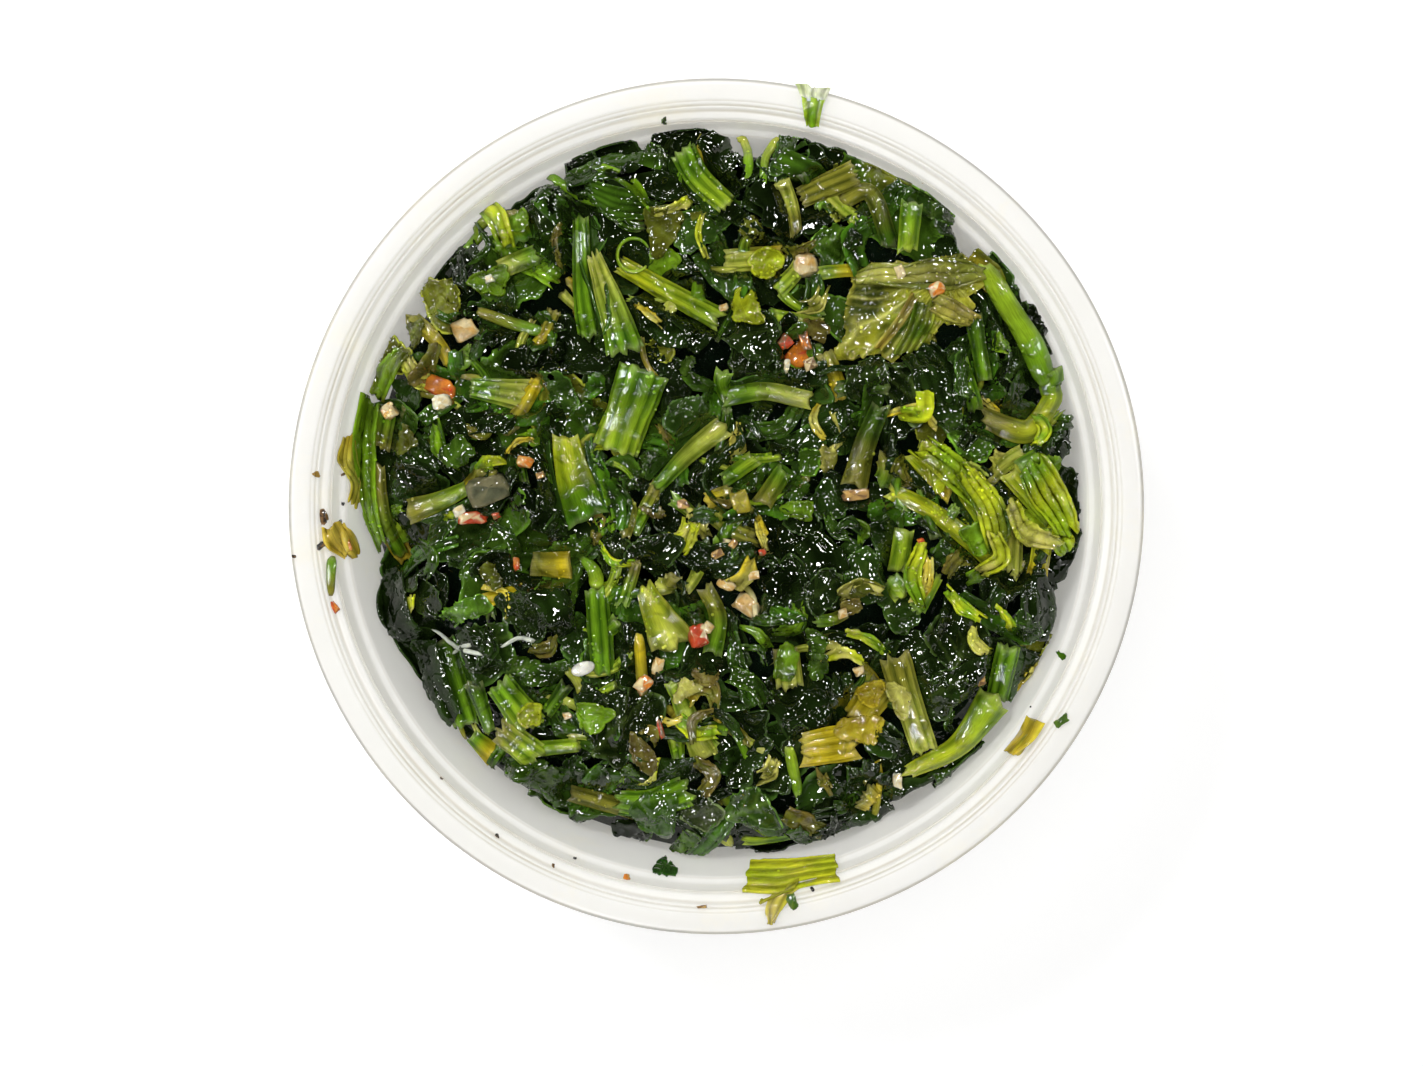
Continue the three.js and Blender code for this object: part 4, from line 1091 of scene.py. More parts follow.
# Leaf strips that show: route, widths, ribs, the two tones, how torn, how folded
LEAF_STRIPS = [
    ([(-18.2, 43.7), (-12.7, 41.6), (-7.5, 40.6)], (3.4, 4.6, 2.6), 5, GRASS, MOSS, 0.8, 0.35),
    ([(-20.3, 45), (-14, 46.6), (-7.2, 47)], (2.6, 4.0, 2.2), 1, MOSS, GRASS, 0.6, 0.6),
    ([(-1.6, 51), (0, 48.6), (1, 45.5)], (3.4, 5.2, 3.0), 1, DEEP, DEEP, 0.5, 0.6),
    ([(-30, 36.8), (-25, 33.6), (-21.7, 31.2)], (2.4, 3.8, 3.0), 3, FRESH, GRASS, 0.8, 0.5),
    ([(-25.1, 43), (-21.5, 38), (-17.5, 33.3)], (4.4, 6.0, 3.6), 1, DEEP, MOSS, 0.5, 0.7),
    ([(-1.6, 35.4), (1.5, 31.7), (4.6, 28.5)], (3.8, 5.2, 3.4), 1, MOSS, GRASS, 0.4, 0.6),
    ([(35.1, 34.3), (38, 31.6), (39.3, 28.8)], (3.0, 4.0, 2.6), 2, OLIVE, AMBER, 0.5, 0.5),
    ([(43, 1.2), (46.4, -2), (48.5, -6)], (3.6, 4.6, 3.0), 3, LIME, FRESH, 0.8, 0.6),
    ([(38.2, 6.6), (42.4, 5), (46.2, 2.6)], (2.8, 3.8, 2.6), 3, SALLOW, LIME, 0.8, 0.5),
    ([(33.2, 5.8), (35.8, 4), (37.8, 1.2)], (2.6, 3.6, 3.2), 4, SALLOW, FRESH, 1.2, 0.5),
    ([(39.3, 14.6), (43.4, 12.6), (47.6, 9.1)], (3.0, 4.2, 2.8), 2, MOSS, GRASS, 0.5, 0.6),
    ([(43.6, -8.6), (44.6, -13), (44.4, -18.6)], (4.0, 5.0, 3.4), 2, DEEP, MOSS, 0.5, 0.7),
    ([(27.5, 21.6), (30, 18.6), (31, 13.6)], (4.4, 6.2, 4.8), 4, DEEP, MOSS, 0.5, 0.6),
    ([(17.1, -5.5), (20.4, -9), (22.6, -13)], (4.4, 5.6, 3.6), 1, MOSS, MOSS, 0.4, 0.5),
    ([(2.6, -41.9), (6.4, -43.5), (10.2, -45.4)], (2.6, 4.2, 2.6), 1, GRASS, MOSS, 0.8, 0.4),
    ([(9.8, -42.6), (12.4, -44.4), (15, -45.4)], (2.4, 3.2, 2.4), 2, OLIVE, TEA, 0.5, 0.4),
    ([(-3.7, -40.8), (-1.2, -43.4), (1.9, -45.6)], (3.2, 4.6, 3.4), 2, SMOKE, MOSS, 0.5, 0.5),
    ([(-47.3, -2.7), (-46, -5.4), (-44.5, -7.5)], (2.4, 3.2, 2.6), 2, TEA, AMBER, 0.8, 0.5),
    ([(-46.6, 10.5), (-42.4, 8.4), (-38.3, 4.9)], (3.4, 4.6, 3.2), 2, MOSS, DEEP, 0.5, 0.7),
    ([(-36, -17.3), (-33, -20.3), (-30, -23)], (3.8, 5.0, 3.4), 1, MOSS, DEEP, 0.5, 0.6),
    ([(-18.2, 8.6), (-15.8, 3), (-15, -3.4)], (2.4, 3.8, 2.8), 3, GLOSSY_GREEN, FRESH, 0.6, 0.6),
    ([(-40.8, 10.6), (-37, 11.6), (-32.6, 10.2)], (2.6, 3.6, 2.4), 2, GRASS, DEEP, 0.6, 0.6),
    ([(-10.6, 27.6), (-6.6, 24.6), (-1.6, 23.4)], (3.6, 5.0, 3.6), 1, DEEP, MOSS, 0.4, 0.7),
    ([(4.6, 22.6), (9.6, 18.4), (15.6, 18.6)], (3.4, 4.6, 3.2), 1, DEEP, MOSS, 0.4, 0.7),
    ([(24, 6.6), (27, 4.4), (31.4, 4.2)], (2.8, 3.6, 2.6), 2, MOSS, DEEP, 0.5, 0.5),
    ([(12.6, -4.4), (15.6, -8.6), (14.6, -13.6)], (4.0, 5.4, 3.8), 1, DEEP, DEEP, 0.4, 0.8),
    ([(-4.6, -5.6), (0.4, -7.6), (5.6, -6.2)], (3.4, 4.8, 3.4), 2, DEEP, MOSS, 0.4, 0.8),
    ([(27.4, -25.6), (33.4, -24.6), (38.6, -21.4)], (3.6, 5.2, 3.4), 1, DEEP, MOSS, 0.4, 0.8),
    ([(30.6, -38.6), (34.6, -37.2), (38.4, -33.6)], (2.6, 3.4, 2.4), 2, GRASS, MOSS, 0.5, 0.5),
    ([(-27.6, -36.4), (-23.4, -38.6), (-18.2, -38)], (3.0, 4.4, 3.0), 1, MOSS, DEEP, 0.4, 0.7),
    ([(-12, -36), (-7, -37.4), (-2.6, -36)], (3.0, 4.4, 3.0), 1, DEEP, MOSS, 0.4, 0.7),
    ([(-26.6, -9), (-22.6, -12.4), (-20.4, -17.4)], (3.6, 5.0, 3.4), 1, DEEP, MOSS, 0.4, 0.7),
    ([(17.4, 47), (22.4, 45.2), (27.2, 44.4)], (2.8, 3.8, 2.6), 2, GRASS, OLIVE, 0.6, 0.5),
    ([(9, 47.6), (13, 45.6), (16.6, 41)], (2.8, 3.6, 2.8), 2, MOSS, GRASS, 0.6, 0.6),
]
# Tones of the torn shreds and of the dark folded strips
SHRED_TONES = [
    (GRASS, MOSS), (FRESH, GRASS), (LIME, FRESH), (SALLOW, OLIVE), (OLIVE, TEA), (AMBER, SALLOW),
    (LIME, SALLOW), (MOSS, DEEP), (DEEP, MOSS), (DEEP, DEEP), (GLOSSY_GREEN, MOSS), (MOSS, GRASS),
]
DARK_STRIPS = [(MOSS, DEEP), (DEEP, MOSS), (DEEP, DEEP), (GLOSSY_GREEN, MOSS), (GRASS, MOSS)]


def bent_route(x, y, length):
    """A short bent line about a place."""
    heading, bend = rng.uniform(0, 2 * math.pi), rng.uniform(-0.7, 0.7)
    reach = length / 2
    before = (x - reach * math.cos(heading - bend), y - reach * math.sin(heading - bend))
    after = (x + reach * math.cos(heading + bend), y + reach * math.sin(heading + bend))
    return [before, (x, y), after]


dark_strips, pale_strips = [], []
# A strip whose first tone is lighter than this is made of the lighter leaf
LIGHT_TONE = 0.1
FOLDED_STRIPS = 90
TORN_SHREDS = 120


def keep(shape, sheets):
    """Lays a sheet and keeps it with others."""
    sheets.append(shape)
    lay(shape[0], 0.05)


def add_strip(*details, under_stalks=False):
    """Makes a strip along a route and lays it."""
    strip_tone = details[3]
    sheets = pale_strips if max(strip_tone) > LIGHT_TONE else dark_strips
    keep(leaf_strip(*details, under_stalks=under_stalks), sheets)


def lay_leaf_strips():
    """The strips that show, then the dark folded strips and the torn shreds at random."""
    for order, (route, widths, ribs, tone_a, tone_b, fray, fold) in enumerate(LEAF_STRIPS):
        add_strip(route, widths, ribs, tone_a, tone_b, order * 2.3, fray, fold, under_stalks=True)
    for order in range(FOLDED_STRIPS):
        route = bent_route(*best_spot(4, BED_RADIUS - 2), rng.uniform(6, 13))
        width = rng.uniform(2.2, 5.0)
        tones = DARK_STRIPS[rng.integers(0, len(DARK_STRIPS))]
        ribs, fold = int(rng.integers(1, 3)), rng.uniform(0.4, 1.0)
        widths = width * 0.7, width, width * 0.6
        add_strip(route, widths, ribs, *tones, order * 1.3 + 40, 0.5, fold, under_stalks=True)
    for order in range(TORN_SHREDS):
        route = bent_route(*best_spot(3, BED_RADIUS - 1, True), rng.uniform(2.2, 7.0))
        width = rng.uniform(0.8, 2.8)
        tones = SHRED_TONES[rng.integers(0, len(SHRED_TONES))]
        widths = width * rng.uniform(0.5, 1), width, width * rng.uniform(0.4, 1)
        ribs, fray = int(rng.integers(1, 4)), rng.uniform(0.5, 1.4)
        add_strip(route, widths, ribs, *tones, order * 1.7 + 200, fray, 0.4, under_stalks=True)


# Broad dark leaf pieces on top of them: plan position, size, stretch, heading, tone, veins
TOP_LEAVES = [
    ((-3.0, 12.8), 4.6, 0.9, 0.4, MOSS, 0.1),
    ((-21.4, 15.6), 4.8, 0.6, -0.6, MOSS, 0.4),
    ((-8.4, -7.5), 4.4, 0.95, 0.3, DEEP, 0.1),
    ((4.6, 23.6), 5.0, 0.8, 0.2, DEEP, 0.2),
    ((1.9, 31.6), 4.2, 0.9, 1.2, MOSS, 0.2),
    ((-37.4, -1.0), 4.6, 0.7, 0.5, MOSS, 0.5),
    ((-25.2, -14.6), 5.6, 0.75, 0.3, DEEP, 0.2),
    ((-34.9, -14.4), 5.4, 0.45, 0.1, GRASS, 0.6),
    ((-13.4, -30.4), 6.2, 0.8, 0.8, DEEP, 0.5),
    ((4.8, -42.0), 5.8, 0.6, 0.4, MOSS, 0.9),
    ((-1.4, -42.4), 3.4, 0.9, 0.2, SMOKE, 0.3),
    ((11.6, -33.0), 3.8, 0.8, 1.0, DEEP, 0.4),
    ((43.0, -16.6), 4.6, 0.6, 1.4, MOSS, 0.2),
    ((20.6, -8.6), 5.2, 0.65, 1.3, MOSS, 0.2),
    ((31.0, -25.4), 5.0, 0.6, 0.5, DEEP, 0.4),
    ((14.6, -11.4), 3.8, 0.9, 0.6, DEEP, 0.2),
    ((9.8, 48.2), 3.8, 0.8, 1.2, MOSS, 0.3),
    ((40.6, 25.6), 3.6, 0.8, 1.8, DEEP, 0.2),
    ((20.4, 18.0), 4.6, 0.8, 0.3, DEEP, 0.3),
    ((34.6, 17.6), 4.8, 0.45, 1.5, MOSS, 0.3),
    ((-22.6, 40.4), 4.4, 0.9, 0.8, DEEP, 0.2),
    ((-2.4, 37.8), 4.4, 0.8, 0.6, MOSS, 0.3),
]
# Crumpled bright leaf pieces that show: plan position, size, stretch, heading, tone
BRIGHT_LEAVES = [
    ((30.2, 6.2), 4.4, 0.5, -0.7, LIME),
    ((46.6, 5.4), 2.6, 0.6, 1.2, FRESH),
    ((36.4, -4.4), 3.2, 0.5, -1.2, FRESH),
    ((25.4, -26.4), 3.8, 0.5, -1.1, SALLOW),
    ((20.8, -31.0), 3.4, 0.8, 0.3, AMBER),
    ((21.6, -25.4), 3.0, 0.5, 0.9, AMBER),
    ((-27.4, 39.4), 3.4, 0.45, 0.9, FRESH),
    ((-31.2, 31.6), 3.4, 0.5, 0.2, FRESH),
    ((-41.6, 24.4), 2.8, 0.5, 1.1, OLIVE),
    ((4.4, 26.4), 2.8, 0.45, 0.3, LIME),
    ((7.8, 33.8), 3.0, 0.6, 0.1, LIME),
    ((15.7, -18.9), 2.4, 0.4, -0.4, SALLOW),
    ((-4.2, -24.8), 2.8, 0.5, 1.1, SALLOW),
    ((9.8, -22.0), 2.8, 0.5, 1.5, FRESH),
    ((-25.6, -28.6), 3.0, 0.5, 0.6, LIME),
    ((-9.0, -41.0), 5.0, 0.34, 0.15, GLOSSY_GREEN),
]
# Folded bright leaf strips over them: route, widths, ribs, the two tones, how torn, how folded
BRIGHT_STRIPS = [
    ([(28.4, 8.4), (32.4, 5.2), (36.4, 1.4)], (3.0, 4.4, 3.2), 3, LIME, FRESH, 1.2, 0.8),
    ([(34.4, 4.6), (37.6, 0.4), (39.4, -5.6)], (3.2, 4.6, 3.0), 4, LIME, GRASS, 1.2, 0.7),
    ([(43.6, 5.8), (46.4, 1.6), (48.4, -3.4)], (4.0, 5.4, 3.6), 4, LIME, FRESH, 1.0, 0.8),
    ([(40.6, 0.6), (42.8, -3.4), (47.2, -5.0)], (2.2, 3.0, 2.0), 2, LIME, SALLOW, 1.0, 0.6),
    ([(38.4, -3.6), (39.6, -7.2), (36.4, -8.8)], (2.0, 2.8, 1.8), 2, LIME, SALLOW, 1.2, 0.6),
    ([(28.6, -5.2), (27.2, -9.4), (28.4, -13.4)], (1.8, 2.6, 1.6), 2, FRESH, LIME, 1.2, 0.6),
    ([(17.0, -12.2), (20.2, -10.6), (23.2, -11.6)], (1.6, 2.4, 1.4), 2, OLIVE, SALLOW, 1.0, 0.5),
    ([(44.8, -22.4), (46.2, -25.2), (45.4, -28.0)], (2.2, 3.4, 2.2), 1, SALLOW, AMBER, 0.8, 0.6),
    ([(-32.6, 43.0), (-30.0, 39.6), (-28.6, 35.6)], (2.4, 3.4, 2.4), 2, LIME, FRESH, 0.8, 0.7),
    ([(-47.4, 15.0), (-45.8, 18.4), (-42.6, 21.6)], (2.4, 3.0, 2.2), 2, FRESH, OLIVE, 0.8, 0.6),
    ([(-16.0, 46.6), (-11.4, 44.4), (-8.8, 41.0)], (1.2, 1.8, 1.0), 1, FRESH, GRASS, 0.8, 0.5),
    ([(44.0, 12.6), (45.4, 10.6), (44.0, 8.6)], (1.4, 2.2, 1.4), 2, LIME, FRESH, 0.8, 0.5),
]
# The small scraps at random: how many, and the tones that they are picked from
SCRAPS = 34
SCRAP_TONES = (GRASS, OLIVE, GRASS, FRESH, TEA)


def lay_top_leaves():
    """The broad dark pieces, the bright pieces and strips, and the small scraps on top."""
    for centre, size, stretch, heading, tone, veins in TOP_LEAVES:
        tone = np.array(tone) * rng.uniform(0.9, 1.5)
        keep(leaf_chop(centre, size, 21, tone, 0.35, 0.3, stretch, heading, veins), dark_strips)
    for centre, size, stretch, heading, tone in BRIGHT_LEAVES:
        tone = np.array(tone) * 0.6
        keep(leaf_chop(centre, size, 21, tone, 0.9, 0.3, stretch, heading, 0.7, True), pale_strips)
    for order, (route, widths, ribs, tone_a, tone_b, fray, fold) in enumerate(BRIGHT_STRIPS):
        tone_a, tone_b = np.array(tone_a) * 0.8, np.array(tone_b) * 0.8
        add_strip(route, widths, ribs, tone_a, tone_b, order * 2.9 + 600, fray, fold)
    for _ in range(SCRAPS):
        tone = np.array(SCRAP_TONES[rng.integers(0, len(SCRAP_TONES))]) * rng.uniform(0.5, 0.8)
        spot = best_spot(3, BED_RADIUS - 1, True)
        size, narrow = rng.uniform(2.0, 4.2), rng.uniform(0.3, 0.6)
        keep(leaf_chop(spot, size, 15, tone, 0.9, 0.4, narrow, None, 0.5), pale_strips)


# The large pale leaf: where its veins meet, a netted patch and a green one, and its tones
PALE_ROOT = (31.5, 31.5)
NETTED_PATCH, NETTED_REACH = (21.6, 25.6), 3.6
GREEN_PATCH, GREEN_REACH = (27.6, 25.5), 2.8
PALE_FLESH = (0.37, 0.37, 0.022)
PALE_SEEN_THROUGH = (0.045, 0.060, 0.006)
PALE_GREEN = (0.045, 0.13, 0.006)
PALE_VEIN = (0.62, 0.61, 0.12)
PALE_EDGE = (0.40, 0.37, 0.045)


def patch(x, y, middle, reach):
    """A soft round patch, 1 in its middle."""
    return np.exp(-(np.hypot(x - middle[0], y - middle[1]) / reach) ** 2)


def pale_base():
    """The body of the pale leaf: thin and crumpled, painted darker in patches where the dark leaf below
    would show through it. Its veins fan out from where it was attached."""
    disc_x, disc_y, angle, near = disc_grid(81)
    reach = pale_reach(angle) * (1 + 0.09 * near * ripple(angle * 9, 0.5))
    x, y = PALE_MIDDLE[0] + disc_x * reach, PALE_MIDDLE[1] + disc_y * reach
    fan = np.arctan2(y - PALE_ROOT[1], x - PALE_ROOT[0])
    away = np.hypot(x - PALE_ROOT[0], y - PALE_ROOT[1])
    spread = fan * 13 + 1.3 * wrinkle(x * 0.22, y * 0.22) + 0.5 * ripple(fan * 5, 3.1)
    strong = np.clip(0.55 + 0.9 * ripple(np.round(spread / math.pi) * 1.7, 4.4), 0.1, 1)
    vein = strong * np.abs(np.cos(spread)) ** 14
    fine_vein = np.abs(np.cos(spread * 2.6 + 1.4 * wrinkle(x * 0.5, y * 0.5))) ** 6
    ruffle = 0.9 * near**3 * ripple(angle * 6, 2.5)
    crumple = 0.55 * (0.6 - np.abs(wrinkle(x * 0.42 + 3, y * 0.42)))
    crumple = crumple + 0.3 * (0.5 - np.abs(ripple(x * 0.9, y * 0.9)))
    z = pale_height(x, y) + crumple + 0.32 * vein + 0.08 * fine_vein + ruffle
    # Painted see-through: the leaf is darker where clear is high and in the netted patch, for the dark leaf
    # below
    clear = np.clip(0.42 + 1.1 * wrinkle(x * 0.33 + 7, y * 0.33) + 0.35 * ripple(x * 0.8, y * 0.8), 0, 1)
    netted = patch(x, y, NETTED_PATCH, NETTED_REACH)
    colour = mix(PALE_FLESH, PALE_SEEN_THROUGH, np.clip(clear + 0.4 * netted, 0, 1))
    colour = mix(colour, PALE_GREEN, 0.85 * patch(x, y, GREEN_PATCH, GREEN_REACH))
    colour = mix(colour, PALE_VEIN, np.clip(0.75 * vein + 0.16 * fine_vein, 0, 1))
    colour = mix(colour, PALE_EDGE, 0.6 * np.clip((near - 0.9) / 0.1, 0, 1))
    points = np.stack([x, y, np.minimum(z, HIGHEST_POINT)], axis=-1)
    flats = np.stack([fan * 14, away], axis=-1)
    return points, np.concatenate([colour, 0.8 * near[..., None]], axis=-1), flats


def pale_strip(details, lift):
    """A strip that lies on the pale leaf, in soft patches of shade."""
    x, y, rise, tints, flats = details
    shade = 0.55 + 0.45 * np.clip(0.5 + 1.2 * wrinkle(x * 0.45, y * 0.45), 0, 1)
    tints = tints * np.stack([shade, shade, shade, np.ones(x.shape)], axis=-1)
    return np.stack([x, y, np.minimum(pale_height(x, y) + lift + rise, HIGHEST_POINT)], axis=-1), tints, flats


# Strips on the pale leaf: their two edges
PALE_BAND = [
    [(18.6, 32.2), (22.6, 33.4), (26.1, 33.3), (29.6, 34.1), (33, 34), (35.1, 33.6), (36.9, 32.9)],
    [(20.2, 30.6), (22.6, 30.4), (26.1, 29.9), (29.6, 29.7), (32.3, 29.6), (34.4, 30.2), (36.6, 31)],
]
PALE_FRILL = [[(30.3, 29.5), (33.3, 28.2), (36.2, 26.3)], [(29.4, 26.8), (32.1, 25.4), (34.6, 24.9)]]
PALE_FOLD = [[(26.9, 29.3), (25.2, 26.4), (21.9, 22)], [(28, 28.6), (26, 25.2), (22.9, 21.4)]]
PALE_PANEL = [[(27.6, 28.4), (26.6, 25), (24.6, 20.6)], [(30.4, 27.6), (29.6, 24.6), (27.6, 21.4)]]
pale_sheets = []


def lay_pale_leaf():
    """The pale leaf with its panel, fold, frill and band."""
    panel = ribbon(*PALE_PANEL, 36, 16, 3, (0.12, 0.22, 0.010), (0.40, 0.42, 0.040), 9.4, 0.9, 0.5)
    fold = ribbon(*PALE_FOLD, 30, 7, 1, (0.36, 0.25, 0.03), (0.42, 0.38, 0.06), 3.1)
    frill = ribbon(*PALE_FRILL, 30, 18, 3, (0.24, 0.20, 0.035), (0.34, 0.33, 0.050), 7.7, 1.0, 0.5)
    band = ribbon(*PALE_BAND, 60, 22, 3, (0.36, 0.35, 0.070), (0.17, 0.20, 0.020), 5.3, 0.8, 0.35)
    strips = ((panel, 0.35), (fold, 0.5), (frill, 0.35), (band, 0.45))
    pale_sheets.extend([pale_base(), *(pale_strip(details, lift) for details, lift in strips)])
    for points, _, _ in pale_sheets:
        lay(points)


# Leaf on the ledge, the wall and the rim of the tub

# Height of the piece that leans on the shoulder and the ledge of the tub, over its radius
LEDGE_LEAN = [(47.5, 35.6), (51.0, 39.9), (52.2, 41.2), (53.8, 44.1)]
# Inner line of the tub above its floor: radius and height
INNER_LINE = [
    (CORNER_RADIUS, CORNER_HEIGHT),
    (SHOULDER_RADIUS, SHOULDER_HEIGHT),
    (SHOULDER_RADIUS + STEP_OUT, SHOULDER_HEIGHT + 0.7),
    (GROOVE_RADIUS - 0.9, TUB_HEIGHT - 2),
    (GROOVE_RADIUS + 0.1, TUB_HEIGHT - 1.5),
    (GROOVE_RADIUS + 0.7, TUB_HEIGHT - 0.4),
    (GROOVE_RADIUS + 1.4, TUB_HEIGHT),
    (RIM_RADIUS - 0.5, TUB_HEIGHT),
]


def tub_height(radius):
    """Height of the inside of the tub at a radius."""
    line = np.array(INNER_LINE)
    return np.interp(radius, line[:, 0], line[:, 1])


def polar(radius, degrees):
    """Plan position from a radius and an angle."""
    turn = math.radians(degrees)
    return radius * math.cos(turn), radius * math.sin(turn)


def raised(details, below, lift, relief=0.5):
    """A strip that lies on heights given for its points, turned so that its top faces up."""
    x, y, rise, tints, flats = details
    points = np.stack([x, y, below + lift + relief * rise], axis=-1)
    return points[:, ::-1], tints[:, ::-1], flats[:, ::-1]


def over_ledge(details, lift):
    """A strip that leans on the shoulder of the tub."""
    lean = np.array(LEDGE_LEAN)
    return raised(details, np.interp(np.hypot(*details[:2]), lean[:, 0], lean[:, 1]), lift, 0.6)


def on_ledge(details, lift):
    """A strip that lies on the ledge or the rim."""
    return raised(details, tub_height(np.hypot(*details[:2])), lift)


def on_wall(details, lift):
    """A strip that clings to the wall beside the filling."""
    x, y = details[:2]
    return raised(details, np.maximum(tub_height(np.hypot(x, y)), smooth_height(x, y)), lift)


# The piece on the ledge at the front: the two edges of its body, its tail and a sliver
LEDGE_BODY = [
    [(5.0, -48.9), (8.2, -48.9), (12.4, -48.5), (16.4, -47.9)],
    [(4.4, -52.6), (8.6, -52.6), (12.8, -51.6), (16.6, -50.9)],
]
LEDGE_TAIL = [
    [polar(51.8, -75), polar(54.4, -79.2), polar(57.2, -81.8)],
    [polar(52.6, -80.6), polar(55, -82.6), polar(57.4, -82.5)],
]
LEDGE_SLIVER = [[polar(52.6, -77), polar(54.3, -83.3)], [polar(53.3, -77.8), polar(54.7, -83.5)]]


def ledge_sheets():
    """The sheets of the piece on the ledge."""
    body = ribbon(*LEDGE_BODY, 56, 30, 4, (0.34, 0.42, 0.010), (0.50, 0.50, 0.022), 6.3, 1.0, 0.9)
    tail = ribbon(*LEDGE_TAIL, 26, 12, 2, (0.46, 0.42, 0.03), (0.58, 0.48, 0.09), 1.3, 0.2)
    sliver = ribbon(*LEDGE_SLIVER, 22, 6, 1, (0.40, 0.38, 0.02), (0.30, 0.30, 0.02), 2.3, 0.2)
    return [over_ledge(body, 0.3), on_ledge(tail, 0.4), on_ledge(sliver, 0.5)]


# Lumps: garlic, chilli, mushroom, seeds and crumbs


def lump(centre, size, turn, tone, speckle, seed, rough=0.3, squareness=0.5):
    """Rings of a rounded, uneven body with its tints and flat coordinates."""
    latitude = np.radians(np.linspace(-70, 70, 9))[:, None]
    angle = (np.arange(18) / 18 * 2 * math.pi)[None]

    def soft(value):
        return np.sign(value) * np.abs(value) ** squareness

    uneven = 1 + rough * wrinkle(np.cos(angle) * 1.7 + seed, np.sin(angle) * 1.7 + latitude * 1.2)
    x = size[0] / 2 * soft(np.cos(latitude)) * soft(np.cos(angle)) * uneven
    y = size[1] / 2 * soft(np.cos(latitude)) * soft(np.sin(angle)) * uneven
    z = size[2] / 2 * soft(np.sin(latitude)) * (1 + 0.3 * rough * ripple(angle * 3 + seed, latitude))
    px = centre[0] + x * math.cos(turn) - y * math.sin(turn)
    py = centre[1] + x * math.sin(turn) + y * math.cos(turn)
    rings = np.stack([px, py, centre[2] + z + 0 * angle], axis=-1)
    speckled = np.clip(0.35 + 2.5 * wrinkle(angle * 1.2 + seed, latitude * 2), 0, 1)
    colour = mix(tone, speckle, speckled * np.ones(px.shape))
    tints = np.concatenate([colour, np.zeros(px.shape + (1,))], axis=-1)
    return rings, tints, np.stack([x, y], axis=-1) + seed


CREAM = (0.76, 0.62, 0.33)
IVORY = (0.82, 0.77, 0.57)
TOASTED = (0.62, 0.38, 0.11)
RED = (0.52, 0.060, 0.014)
ORANGE = (0.70, 0.22, 0.020)
BROWN = (0.22, 0.12, 0.045)
GREY_OLIVE = (0.180, 0.165, 0.078)
DARK_SPECKLE = (0.085, 0.090, 0.045)
BLACK = (0.012, 0.010, 0.007)
SESAME = (0.86, 0.84, 0.74)
BIT_TONES = {"garlic": (CREAM, TOASTED), "chilli": (ORANGE, RED), "mushroom": (GREY_OLIVE, DARK_SPECKLE)}
# Share of its CAD thickness that a bit has, and its squareness: less than 1 is boxier than an egg
BIT_FORMS = {"garlic": (1.0, 0.5), "chilli": (1.0, 0.5), "mushroom": (0.6, 0.4)}

